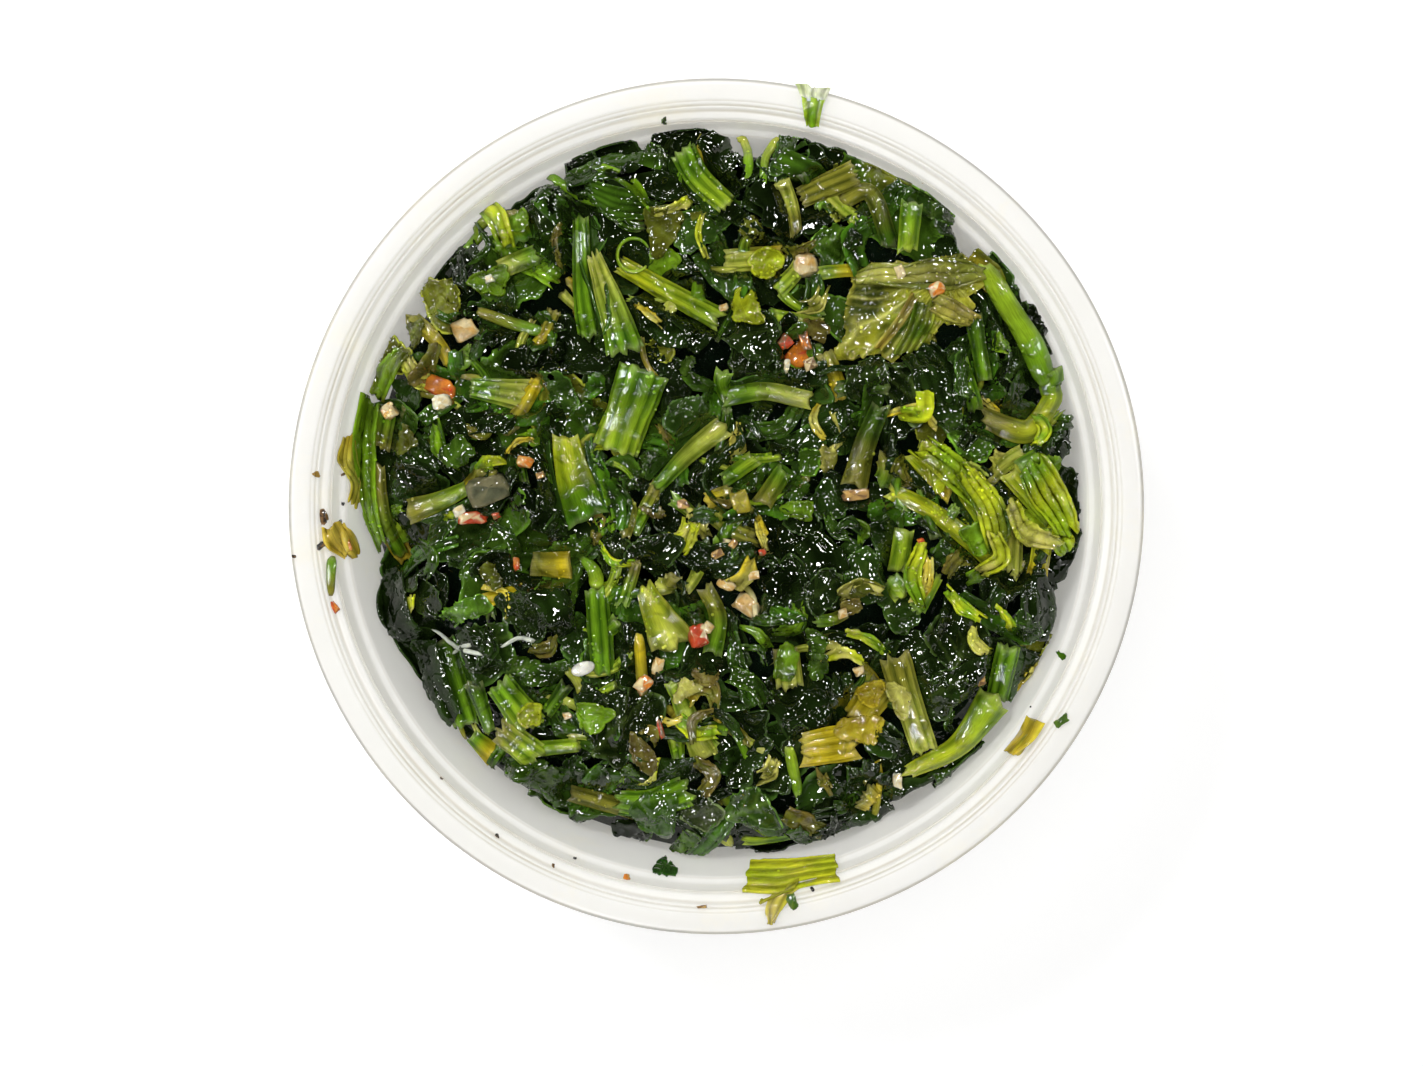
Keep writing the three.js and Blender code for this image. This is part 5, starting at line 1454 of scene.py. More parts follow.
# Loose bits on the filling: plan position, size, turn, the two tones
LOOSE_BITS = [
    ((-33.9, -1.6), (3.8, 1.8, 1.2), 0.1, RED, CREAM),
    ((-35.6, -0.6), (1.8, 1.4, 1.0), 0.5, IVORY, CREAM),
    ((-2.1, -17.9), (2.6, 3.2, 1.6), 0.3, RED, CREAM),
    ((-0.9, -16.6), (1.6, 1.8, 1.2), 0.9, CREAM, TOASTED),
    ((-27.6, -7.9), (1.1, 2.0, 1.0), 0.1, ORANGE, RED),
    ((-26.2, 6.2), (2.5, 1.8, 1.2), -0.3, ORANGE, TOASTED),
    ((9.7, 22.6), (2.0, 1.8, 1.4), 0.8, RED, BROWN),
    ((13.2, 19.6), (1.8, 1.5, 1.2), 0.4, CREAM, BROWN),
    ((12.4, 22.8), (1.4, 2.4, 1.0), 0.2, BROWN, ORANGE),
    ((9.8, 19.4), (1.8, 1.0, 1.0), 1.2, IVORY, CREAM),
    ((-37.8, 14.3), (2.8, 2.3, 1.4), 0.2, IVORY, CREAM),
    ((-45.6, 13.4), (2.0, 2.2, 1.5), 0.6, CREAM, TOASTED),
    ((-7.8, -21.9), (1.5, 2.2, 1.2), -0.2, CREAM, TOASTED),
    ((-9.9, -24.6), (2.6, 1.8, 1.2), 0.9, CREAM, ORANGE),
    ((19.9, -22.5), (1.4, 1.3, 1.1), 0.4, CREAM, TOASTED),
    ((25.4, -38.2), (1.4, 2.1, 1.2), 0.1, IVORY, CREAM),
    ((30.4, 29.7), (2.1, 1.7, 1.1), 0.5, CREAM, ORANGE),
    ((25.4, 32.2), (1.3, 1.9, 1.0), 0.3, CREAM, CREAM),
    ((3.6, 0.7), (2.3, 2.9, 1.7), 0.2, (0.50, 0.42, 0.03), (0.30, 0.26, 0.02)),
    ((19.4, 1.7), (3.8, 1.4, 0.9), 0.1, BROWN, TOASTED),
    ((-24, 4.4), (1.2, 0.9, 0.8), 0.3, TOASTED, BROWN),
    ((-4.4, 0.4), (1.6, 1.2, 1.0), 0.3, TOASTED, BROWN),
    ((17.6, -14.6), (1.3, 1.2, 1.0), 0.3, CREAM, TOASTED),
    ((-20.6, -29), (1.2, 1.0, 0.9), 0.3, CREAM, TOASTED),
    ((1.2, 27.4), (1.3, 1.0, 0.9), 0.3, CREAM, TOASTED),
    ((-31, 31.4), (1.4, 1.0, 0.9), 0.3, IVORY, CREAM),
    ((36.6, -24), (1.4, 1.2, 1.0), 0.3, TOASTED, BROWN),
    ((1.6, -10.6), (2.6, 1.4, 1.0), -0.5, CREAM, TOASTED),
    ((0.4, -6.4), (1.8, 1.2, 0.9), 0.6, BROWN, TOASTED),
    ((5.4, -9.4), (1.6, 1.1, 0.9), 0.2, TOASTED, CREAM),
    ((2.6, -5.0), (1.2, 1.0, 0.8), 0.9, TOASTED, BROWN),
    ((6.6, -6.2), (1.1, 0.9, 0.8), 0.2, RED, BROWN),
    ((28.4, -4.6), (1.0, 0.8, 0.7), 0.4, RED, ORANGE),
    ((-7.6, -30.8), (0.7, 2.6, 0.6), 0.3, RED, BROWN),
    ((-30.2, -1.2), (1.1, 0.9, 0.8), 0.4, RED, BROWN),
]
YELLOW_BIT = (0.60, 0.42, 0.02)
GREEN_BIT = (0.06, 0.14, 0.008)
# Bits caught on the tub's wall and rim: radius, angle in degrees, size, turn, the two tones
RIM_BITS = [
    (51.6, -174.2, (1.6, 1.9, 1.0), 0.2, YELLOW_BIT, ORANGE),
    (53.8, -178.6, (1.0, 1.7, 0.5), 0.3, BLACK, BROWN),
    (54.4, -174.3, (1.5, 0.8, 0.5), 0.5, BLACK, BROWN),
    (54.1, -165.3, (0.9, 1.5, 0.6), 0.4, ORANGE, RED),
    (52.0, 173.6, (0.6, 0.5, 0.6), 0.2, BLACK, BLACK),
    (51.7, 171.9, (0.5, 0.7, 0.6), 0.2, BLACK, BROWN),
    (51.8, 179.5, (0.5, 0.5, 0.3), 0.0, BLACK, BLACK),
    (52.3, -177.8, (0.6, 0.5, 0.3), 0.0, BLACK, BLACK),
    (58.0, -173.3, (0.5, 0.4, 0.25), 0.0, BLACK, BROWN),
    (54.2, -123.4, (0.7, 0.5, 0.3), 0.6, BLACK, BROWN),
    (52.5, -111.7, (1.0, 0.5, 0.3), 0.2, BLACK, BLACK),
    (54.0, -114.2, (0.5, 0.4, 0.3), 0.0, BLACK, BROWN),
    (53.1, -135.2, (0.5, 0.5, 0.3), 0.0, BLACK, BROWN),
    (52.9, -103.3, (1.5, 0.8, 0.4), 0.1, ORANGE, TOASTED),
    (53.4, 97.4, (0.9, 0.6, 0.3), 0.0, GREEN_BIT, BLACK),
    (52.0, 175.0, (0.5, 0.4, 0.5), 0.2, BLACK, BROWN),
    (52.9, 57.2, (0.5, 0.4, 0.3), 0.2, BROWN, TOASTED),
    (54.7, -91.7, (0.4, 1.2, 0.3), 0.2, BROWN, TOASTED),
    (55.5, -31.4, (1.2, 1.9, 0.5), -0.4, GREEN_BIT, (0.10, 0.20, 0.01)),
    (54.7, -78.6, (1.9, 1.2, 1.0), 0.2, GREEN_BIT, (0.12, 0.2, 0.01)),
    (54.2, -75.5, (0.9, 0.4, 0.3), 0.3, BLACK, BLACK),
]
PARSLEY = (0.020, 0.075, 0.008)
STAINED = (0.62, 0.42, 0.02)
SOAKED = (0.40, 0.30, 0.02)
# A stained shred at the left, a crumb of parsley in front and a shred at the right: radius, angle in
# degrees, size, tone
RIM_SHREDS = [
    (54.7, 175.3, 0.6, (0.40, 0.24, 0.05)),
    (50.6, -98.5, 1.1, PARSLEY),
    (51.1, -97.7, 1.0, PARSLEY),
    (50.7, -97.2, 0.95, PARSLEY),
    (51.0, -99.1, 0.75, PARSLEY),
    (51.0, -96.7, 0.75, PARSLEY),
    (51.9, -23.1, 0.9, (0.06, 0.16, 0.008)),
]
SEED_PLACE = (-18.3, -22.4)
SEED_SIZE = (3.4, 1.9, 1.2)
bits = {}
loose_bits = []


def lay_bits():
    """The bits that are nodes, the loose bits and the sesame seed, and the bits on the wall and rim."""
    for order, (name, (plan, size, level, turn)) in enumerate(BITS.items()):
        kind = name.split("_")[0]
        thinness, squareness = BIT_FORMS[kind]
        shown_size = size[0], size[1], size[2] * thinness
        middle = bit_centre(plan, shown_size, level)
        bits[name] = lump(middle, shown_size, turn, *BIT_TONES[kind], order * 3.3, 0.3, squareness)
        lay(bits[name][0])
    for order, (plan, size, turn, *tones) in enumerate(LOOSE_BITS):
        z = float(smooth_height(*plan)) + size[2] * 0.3
        loose_bits.append(lump((*plan, z), size, turn, *tones, order * 1.9 + 20))
        lay(loose_bits[-1][0])
    seed_middle = (*SEED_PLACE, float(smooth_height(*SEED_PLACE)) + 0.6)
    loose_bits.append(lump(seed_middle, SEED_SIZE, 0.35, SESAME, SESAME, 3.3, 0.08, 0.9))
    for order, (radius, degrees, size, turn, *tones) in enumerate(RIM_BITS):
        middle = (*polar(radius, degrees), float(tub_height(radius)) + size[2] * 0.3)
        loose_bits.append(lump(middle, size, turn + math.radians(degrees), *tones, order * 2.7 + 90, 0.6))


def rim_shred(radius, degrees, size, tone):
    """A shred of leaf that clings to the tub."""
    disc_x, disc_y, angle, near = disc_grid(13)
    reach = cut_outline(angle, size, 5, 0.7)
    x0, y0 = polar(radius, degrees)
    x, y = x0 + disc_x * reach, y0 + disc_y * reach
    z = tub_height(np.hypot(x, y)) + 0.35 + 0.15 * wrinkle(x * 1.5, y * 1.5)
    colour = np.asarray(tone) * (1 + 0.4 * wrinkle(x * 1.2, y * 1.2))[..., None]
    tints = np.concatenate([colour, near[..., None]], axis=-1)
    return np.stack([x, y, z], axis=-1), tints, np.stack([x, y], axis=-1)


# The shred over the lip at the back, faded where it lies on the land, and the yellow one at the right
LIP_SHRED = [[(11.9, 55.7), (12.1, 54.2), (12.6, 52.0)], [(15.1, 55.3), (14.7, 53.8), (14.3, 51.8)]]
LIP_END = [[(11.1, 57.5), (11.5, 56.6), (11.9, 55.4)], [(15.9, 56.7), (15.5, 55.9), (15.1, 54.9)]]
SIDE_SHRED = [[(43.0, -28.8), (42.0, -31.0), (40.0, -33.6)], [(45.2, -29.4), (43.6, -31.8), (40.8, -34.0)]]
# Strips on the wall at the left: their two edges, ribs and the two tones
WALL_STRIPS = [
    ([(-49.4, 15.2), (-50.6, 8.6), (-50.3, 2.4), (-48.8, -5.8)],
     [(-46.7, 14.6), (-47.5, 8.6), (-47.5, 2.6), (-46.9, -5.2)], 2, FRESH, (0.085, 0.16, 0.008)),
    ([(-51.5, 9.6), (-52.2, 6.4), (-51.0, 3.6), (-51.2, 0.8)],
     [(-50.3, 9.4), (-50.3, 6.0), (-50.0, 3.4), (-50.4, 0.6)], 3, SOAKED, (0.50, 0.45, 0.06)),
    ([(-54.0, -2.6), (-53.5, -5.2), (-51.4, -7.4)], [(-51.8, -1.6), (-50.6, -4.2), (-50.0, -7.2)], 3,
     STAINED, (0.70, 0.52, 0.08)),
    ([(-47.6, -8.6), (-48.3, -12.6), (-47.2, -16.8), (-44.4, -19.6)],
     [(-44.4, -8.8), (-43.4, -12.6), (-42.6, -15.8), (-41.4, -17.6)], 1, DEEP, MOSS),
    ([(-43.8, -19.4), (-41.6, -24.6), (-38.4, -30.6)], [(-40.0, -18.4), (-38.2, -23.6), (-35.8, -29.4)], 1,
     MOSS, DEEP),
]
rim_shreds = []


def add_rim_shreds():
    """The shreds on the rim and the ledge, and the strips on the wall."""
    rim_shreds.extend(rim_shred(*details) for details in RIM_SHREDS)
    lip = ribbon(*LIP_SHRED, 22, 14, 2, (0.17, 0.36, 0.008), (0.34, 0.50, 0.015), 4.3, 0.3, 0.3)
    lip_end = ribbon(*LIP_END, 22, 14, 3, (0.50, 0.60, 0.26), (0.76, 0.78, 0.60), 2.3, 0.5, 0.3)
    side = ribbon(*SIDE_SHRED, 22, 8, 1, (0.62, 0.42, 0.03), (0.55, 0.46, 0.04), 8.3, 0.2, 0.3)
    rim_shreds.extend([on_ledge(lip, 0.3), on_ledge(lip_end, 0.2), on_ledge(side, 0.6)])
    for order, (edge_a, edge_b, ribs, *tones) in enumerate(WALL_STRIPS):
        strip = on_wall(ribbon(edge_a, edge_b, 40, 18, ribs, *tones, order * 3.1 + 71, 1.1, 0.9), 0.4)
        sheets = rim_shreds if max(tones[0]) > LIGHT_TONE else dark_strips
        sheets.append(strip)


def rim_stalk(first, last, widths, tones, seed):
    """A thin piece of stalk that clings to the tub between two places given as radius and degrees."""
    places = curve_points([first, last], 12)
    spine = np.array([(*polar(radius, degrees), tub_height(radius) + 0.3) for radius, degrees in places])
    return stalk_body(spine, widths, 0.5, 1, tones, (0.3, 0.3), seed)


# The thin stalks on the ledge: radius and angle in degrees of each end, end widths, tones, seed
RIM_STALKS = [
    ((53.1, -172.6), (54.2, -167), (1.5, 1.2), ("green", "olive"), 411),
    ((53.2, -39.5), (53.2, -36), (1.4, 1.0), ("yellow", "olive"), 417),
]

# The curled tendril and the white slivers
TENDRIL_MIDDLE = (-11.15, 34.7)
TENDRIL_RADIUS = 2.3
SLIVERS = [
    [(-40.4, -17.4), (-36.6, -19.6), (-32.4, -20.4)],
    [(-37.4, -20.8), (-35.4, -19.4), (-33.8, -19.2)],
    [(-29.8, -19.4), (-27.4, -18.2), (-25, -18.6)],
]


def add_thin_things():
    """The curled tendril and the white slivers, which lie on everything."""
    turn = np.linspace(0.4, 5.6, 30)
    x = TENDRIL_MIDDLE[0] + TENDRIL_RADIUS * np.cos(turn)
    y = TENDRIL_MIDDLE[1] + TENDRIL_RADIUS * np.sin(turn)
    spine = np.column_stack([x, y, smooth_height(x, y) + 0.35])
    small_stalks.append(stalk_body(spine, (0.5, 0.6), 0.9, 1, ("green", "bright"), (0.1, 0.1), 501))
    for order, route in enumerate(SLIVERS):
        sliver = laid_stalk(route, (0.5, 0.8), 0.9, 1, ("white", "white"), (0.3, 0.3), 511 + order)
        small_stalks.append(sliver)


# Materials


def new_material(name):
    """A material with its node tree and its shader."""
    material = bpy.data.materials.new(name)
    material.use_nodes = True
    tree = material.node_tree
    return material, tree, tree.nodes["Principled BSDF"]


def node(tree, kind, **settings):
    """A new node with these settings."""
    made = tree.nodes.new(kind)
    for key, value in settings.items():
        setattr(made, key, value)
    return made


def set_inputs(made, **values):
    """Sets a node's inputs by name. An underscore in a name stands for a space."""
    for key, value in values.items():
        made.inputs[key.replace("_", " ")].default_value = value
    return made


def put(tree, socket, value):
    """Links a socket to another, or sets it to a number or a colour."""
    if isinstance(value, bpy.types.NodeSocket):
        tree.links.new(value, socket)
    elif isinstance(value, (int, float)):
        socket.default_value = value
    else:
        socket.default_value = (*value, 1)


def math_node(tree, operation, first, second=None):
    """One step of arithmetic."""
    made = node(tree, "ShaderNodeMath", operation=operation)
    put(tree, made.inputs[0], first)
    if second is not None:
        put(tree, made.inputs[1], second)
    return made.outputs[0]


def noise_node(tree, vector, scale, detail=2.0, rough=0.5):
    """Noise from 0 to 1 over places."""
    made = node(tree, "ShaderNodeTexNoise")
    set_inputs(made, Scale=scale, Detail=detail, Roughness=rough)
    put(tree, made.inputs["Vector"], vector)
    return made.outputs["Fac"]


def map_range(tree, value, low, high, to_low, to_high, kind="LINEAR"):
    """Maps a range of values to another."""
    made = node(tree, "ShaderNodeMapRange", interpolation_type=kind)
    put(tree, made.inputs["Value"], value)
    set_inputs(made, From_Min=low, From_Max=high, To_Min=to_low, To_Max=to_high)
    return made.outputs["Result"]


def mix_colour(tree, factor, first, second):
    """Between two colours."""
    made = node(tree, "ShaderNodeMix", data_type="RGBA")
    colour_sockets = [socket for socket in made.inputs if socket.type == "RGBA"]
    put(tree, made.inputs[0], factor)
    put(tree, colour_sockets[0], first)
    put(tree, colour_sockets[1], second)
    return next(socket for socket in made.outputs if socket.type == "RGBA")


def scale_colour(tree, colour, factor):
    """A colour made lighter or darker."""
    made = node(tree, "ShaderNodeVectorMath", operation="SCALE")
    put(tree, made.inputs[0], colour)
    put(tree, made.inputs["Scale"], factor)
    return made.outputs[0]


def tint_inputs(tree):
    """The tint of each point, flat coordinates in millimetres, and the place in the object."""
    tint = node(tree, "ShaderNodeVertexColor", layer_name="tint")
    flat = node(tree, "ShaderNodeUVMap", uv_map="flat").outputs["UV"]
    place = node(tree, "ShaderNodeTexCoord").outputs["Object"]
    return tint, flat, place


def add_bump(tree, shader, relief, distance, coated):
    """Relief on the surface, and on its coat if it has one."""
    bump = node(tree, "ShaderNodeBump")
    set_inputs(bump, Strength=1.0, Distance=distance)
    put(tree, bump.inputs["Height"], relief)
    put(tree, shader.inputs["Normal"], bump.outputs["Normal"])
    if coated:
        put(tree, shader.inputs["Coat Normal"], bump.outputs["Normal"])


def set_wet(shader, clear, film, film_ior, ior):
    """A matt body under a clear film of oil. clear is how much light goes through the body."""
    set_inputs(shader, IOR=ior, Specular_IOR_Level=0.0)
    set_inputs(shader, Coat_Weight=1.0, Coat_Roughness=film, Coat_IOR=film_ior)
    set_inputs(shader, Subsurface_Weight=clear, Subsurface_Scale=0.001)
    shader.inputs["Subsurface Radius"].default_value = (1.0, 1.0, 0.3)


def wet_leaf_material(name, net_strength, net_tone, edge_highlight_tone, clear):
    """Wet leaf: netted veins with puffed cells between them, creases, a painted highlight along the cut edge
    and a film of oil.
    """
    material, tree, shader = new_material(name)
    tint, flat, place = tint_inputs(tree)
    body = tint.outputs["Color"]
    cells = node(tree, "ShaderNodeTexVoronoi", feature="SMOOTH_F1")
    set_inputs(cells, Scale=0.75, Smoothness=0.5)
    put(tree, cells.inputs["Vector"], flat)
    net = node(tree, "ShaderNodeTexVoronoi", feature="DISTANCE_TO_EDGE")
    set_inputs(net, Scale=0.8)
    put(tree, net.inputs["Vector"], flat)
    vein = map_range(tree, net.outputs["Distance"], 0.0, 0.05, 1.0, 0.0)
    blotch = map_range(tree, noise_node(tree, place, 260, 3), 0.3, 0.7, 0.55, 1.5)
    colour = scale_colour(tree, body, blotch)
    veined = scale_colour(tree, body, net_tone)
    colour = mix_colour(tree, math_node(tree, "MULTIPLY", vein, net_strength), colour, veined)
    # The cut edge is made lighter: painted highlight and painted light through the thin edge
    edge_highlight = map_range(tree, tint.outputs["Alpha"], 0.88, 0.99, 0.0, 0.8)
    colour = mix_colour(tree, edge_highlight, colour, scale_colour(tree, body, edge_highlight_tone))
    put(tree, shader.inputs["Base Color"], colour)
    roughness = map_range(tree, noise_node(tree, place, 300, 2), 0.3, 0.7, 0.4, 0.6)
    put(tree, shader.inputs["Roughness"], roughness)
    set_wet(shader, clear, 0.02, 1.5, 1.4)
    puffed = map_range(tree, noise_node(tree, place, 140, 1), 0.45, 0.54, 0.0, 1.0)
    dome = math_node(tree, "MULTIPLY", cells.outputs["Distance"], -0.6)
    beaded = math_node(tree, "MULTIPLY", dome, puffed)
    waves = noise_node(tree, place, 190, 1)
    off_crease = math_node(tree, "ABSOLUTE", math_node(tree, "SUBTRACT", waves, 0.5))
    crease = map_range(tree, off_crease, 0.0, 0.05, -0.22, 0.0, "SMOOTHSTEP")
    pucker = math_node(tree, "MULTIPLY", noise_node(tree, place, 330, 0), 0.25)
    relief = math_node(tree, "ADD", math_node(tree, "ADD", beaded, pucker), crease)
    add_bump(tree, shader, relief, 0.0008, True)
    return material


def stalk_material(name, clear):
    """Wet stalk: fine fibres along it and a thin film of oil."""
    material, tree, shader = new_material(name)
    tint, flat, place = tint_inputs(tree)
    stretch = node(tree, "ShaderNodeMapping")
    stretch.inputs["Scale"].default_value = (3.2, 0.28, 1)
    put(tree, stretch.inputs["Vector"], flat)
    fibre = noise_node(tree, stretch.outputs["Vector"], 1.6, 3)
    blotch = noise_node(tree, place, 420, 3)
    streak = map_range(tree, fibre, 0.3, 0.7, 0.78, 1.22)
    shade = math_node(tree, "MULTIPLY", streak, map_range(tree, blotch, 0.3, 0.7, 0.8, 1.2))
    put(tree, shader.inputs["Base Color"], scale_colour(tree, tint.outputs["Color"], shade))
    put(tree, shader.inputs["Roughness"], map_range(tree, blotch, 0.3, 0.7, 0.4, 0.6))
    set_wet(shader, clear, 0.025, 1.45, 1.42)
    wet_spots = map_range(tree, noise_node(tree, place, 520, 0), 0.55, 0.75, 0.0, 1.2)
    relief = math_node(tree, "ADD", math_node(tree, "MULTIPLY", fibre, 0.3), wet_spots)
    add_bump(tree, shader, relief, 0.00025, True)
    return material


def bit_material(name, clear):
    """Garlic, chilli or mushroom: soft, mottled and wet."""
    material, tree, shader = new_material(name)
    tint, _, place = tint_inputs(tree)
    mottle = noise_node(tree, place, 900, 3)
    shade = map_range(tree, mottle, 0.3, 0.7, 0.7, 1.2)
    put(tree, shader.inputs["Base Color"], scale_colour(tree, tint.outputs["Color"], shade))
    put(tree, shader.inputs["Roughness"], map_range(tree, mottle, 0.3, 0.7, 0.4, 0.6))
    set_inputs(shader, Specular_IOR_Level=0.1, Coat_Weight=0.8, Coat_Roughness=0.06)
    set_inputs(shader, Subsurface_Weight=clear, Subsurface_Scale=0.001)
    shader.inputs["Subsurface Radius"].default_value = (1.0, 0.85, 0.45)
    add_bump(tree, shader, noise_node(tree, place, 800, 2), 0.0003, True)
    return material


def bead_material():
    """A drop of oil in a lighter copy of the colour of what it lies on."""
    material, tree, shader = new_material("oil_bead")
    tint, _, place = tint_inputs(tree)
    # The bead's colour is made lighter still, by up to half, in patches
    lightened = map_range(tree, noise_node(tree, place, 300, 1), 0.3, 0.7, 1.0, 1.5)
    put(tree, shader.inputs["Base Color"], scale_colour(tree, tint.outputs["Color"], lightened))
    set_inputs(shader, Roughness=0.5, Specular_IOR_Level=0.0)
    set_inputs(shader, Coat_Weight=1.0, Coat_Roughness=0.02, Coat_IOR=1.5)
    return material


# Lines of painted shade at the steps of the ledge, the groove and the edge of the land, with oil caught
# in them: radius and reach in metres, strength
TUB_LINES = (
    (0.0515, 0.00018, 0.35), (0.0529, 0.00022, 0.75), (0.0542, 0.00025, 0.6), (0.05485, 0.00018, 0.7),
    (0.0554, 0.00016, 0.5),
)


def tub_material():
    """Milky plastic, with faint turning marks and a little oil on the rim. The lines on the ledge and
    land are painted shade with oil, the rim's outer edge has painted shade, and it has a painted glow.
    """
    material, tree, shader = new_material("tub_plastic")
    place = node(tree, "ShaderNodeTexCoord").outputs["Object"]
    cloud = noise_node(tree, place, 35, 4)
    shade = map_range(tree, cloud, 0.35, 0.7, 0.0, 1.0)
    colour = mix_colour(tree, shade, (0.76, 0.75, 0.715), (0.71, 0.70, 0.66))
    split = node(tree, "ShaderNodeSeparateXYZ")
    put(tree, split.inputs[0], place)
    square_x = math_node(tree, "POWER", split.outputs["X"], 2.0)
    square_y = math_node(tree, "POWER", split.outputs["Y"], 2.0)
    radius = math_node(tree, "SQRT", math_node(tree, "ADD", square_x, square_y))
    oil_and_shade_patches = noise_node(tree, place, 45, 4, 0.6)
    for ring, reach, strength in TUB_LINES:
        off_ring = math_node(tree, "ABSOLUTE", math_node(tree, "SUBTRACT", radius, ring))
        # Each line is painted shade, beige-brown like oil, and patchy
        line = map_range(tree, off_ring, 0.0, reach, strength, 0.0)
        patchy_shade_line = math_node(tree, "MULTIPLY", line, map_range(tree, oil_and_shade_patches, 0.4, 0.62, 0.45, 1.0))
        colour = mix_colour(tree, patchy_shade_line, colour, (0.44, 0.39, 0.30))
    # A darker line round the rim's outer edge, on its top only: painted shade where the edge turns away from
    # the light, grey with brownish oil in patches
    far_out = map_range(tree, radius, 0.0579, 0.0582, 0.0, 0.9)
    high_up = map_range(tree, split.outputs["Z"], 0.0440, 0.0444, 0.0, 1.0)
    outer_edge_shade = math_node(tree, "MULTIPLY", far_out, high_up)
    edge_shade_and_oil = mix_colour(tree, oil_and_shade_patches, (0.20, 0.21, 0.23), (0.40, 0.35, 0.25))
    colour = mix_colour(tree, outer_edge_shade, colour, edge_shade_and_oil)
    smear = map_range(tree, noise_node(tree, place, 60, 5, 0.65), 0.55, 0.75, 0.0, 0.4)
    colour = mix_colour(tree, smear, colour, (0.86, 0.78, 0.55))
    put(tree, shader.inputs["Base Color"], colour)
    put(tree, shader.inputs["Roughness"], map_range(tree, cloud, 0.3, 0.7, 0.28, 0.42))
    set_inputs(shader, IOR=1.49, Specular_IOR_Level=0.25, Subsurface_Weight=0.9, Subsurface_Scale=0.004)
    shader.inputs["Subsurface Radius"].default_value = (1.0, 1.0, 0.95)
    # Painted light: a faint glow in the plastic that stands in for light coming through the milky wall
    set_inputs(shader, Emission_Color=(1, 0.98, 0.93, 1), Emission_Strength=0.13)
    add_bump(tree, shader, noise_node(tree, place, 240, 4), 0.00004, False)
    return material


# Strength and tone of the netted veins, tone of the painted highlight along the cut edge, and how clear it is
leaf_material = wet_leaf_material("leaf_dark", 0.2, 2.2, 4.2, 0.0)
pale_leaf_material = wet_leaf_material("leaf_pale", 0.4, 1.6, 1.25, 0.2)
stalk_materials = {
    "green": stalk_material("stalk_green", 0.12),
    "dark": stalk_material("stalk_dark", 0.05),
    "pale": stalk_material("stalk_pale", 0.3),
    "yellow": stalk_material("leaf_yellow", 0.3),
}
bit_materials = {
    "garlic": bit_material("garlic", 0.4),
    "chilli": bit_material("chilli", 0.2),
    "mushroom": bit_material("mushroom", 0.2),
}


def dress(piece, slot_name, *replaced):
    """Makes a piece ride on the body and hides the nodes that it replaces. slot_name is not used."""
    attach(piece, "root")
    if replaced:
        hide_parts(*replaced)


# The tub

TUB_SIDES = 240
CORNER_ROUNDING = 0.45
# Where turned surfaces start, beside the axis
AXIS_RADIUS = 0.02


def rounded(profile, radius, steps):
    """A profile with its corners rounded."""
    profile = [np.array(p, float) for p in profile]
    made = [profile[0]]
    for before, corner, after in zip(profile, profile[1:], profile[2:]):
        into, out = before - corner, after - corner
        cut = min(radius, np.linalg.norm(into) * 0.45, np.linalg.norm(out) * 0.45)
        start = corner + unit(into) * cut
        end = corner + unit(out) * cut
        for t in np.linspace(0, 1, steps):
            made.append((1 - t) ** 2 * start + 2 * t * (1 - t) * corner + t**2 * end)
    made.append(profile[-1])
    return np.array(made)


def turned_points(radii, heights, around):
    """Rings of points about the axis."""
    turn = np.arange(around) / around * 2 * math.pi
    radii, heights = np.asarray(radii, float)[:, None], np.asarray(heights, float)[:, None]
    return np.stack([radii * np.cos(turn), radii * np.sin(turn), heights + 0 * turn], axis=-1)


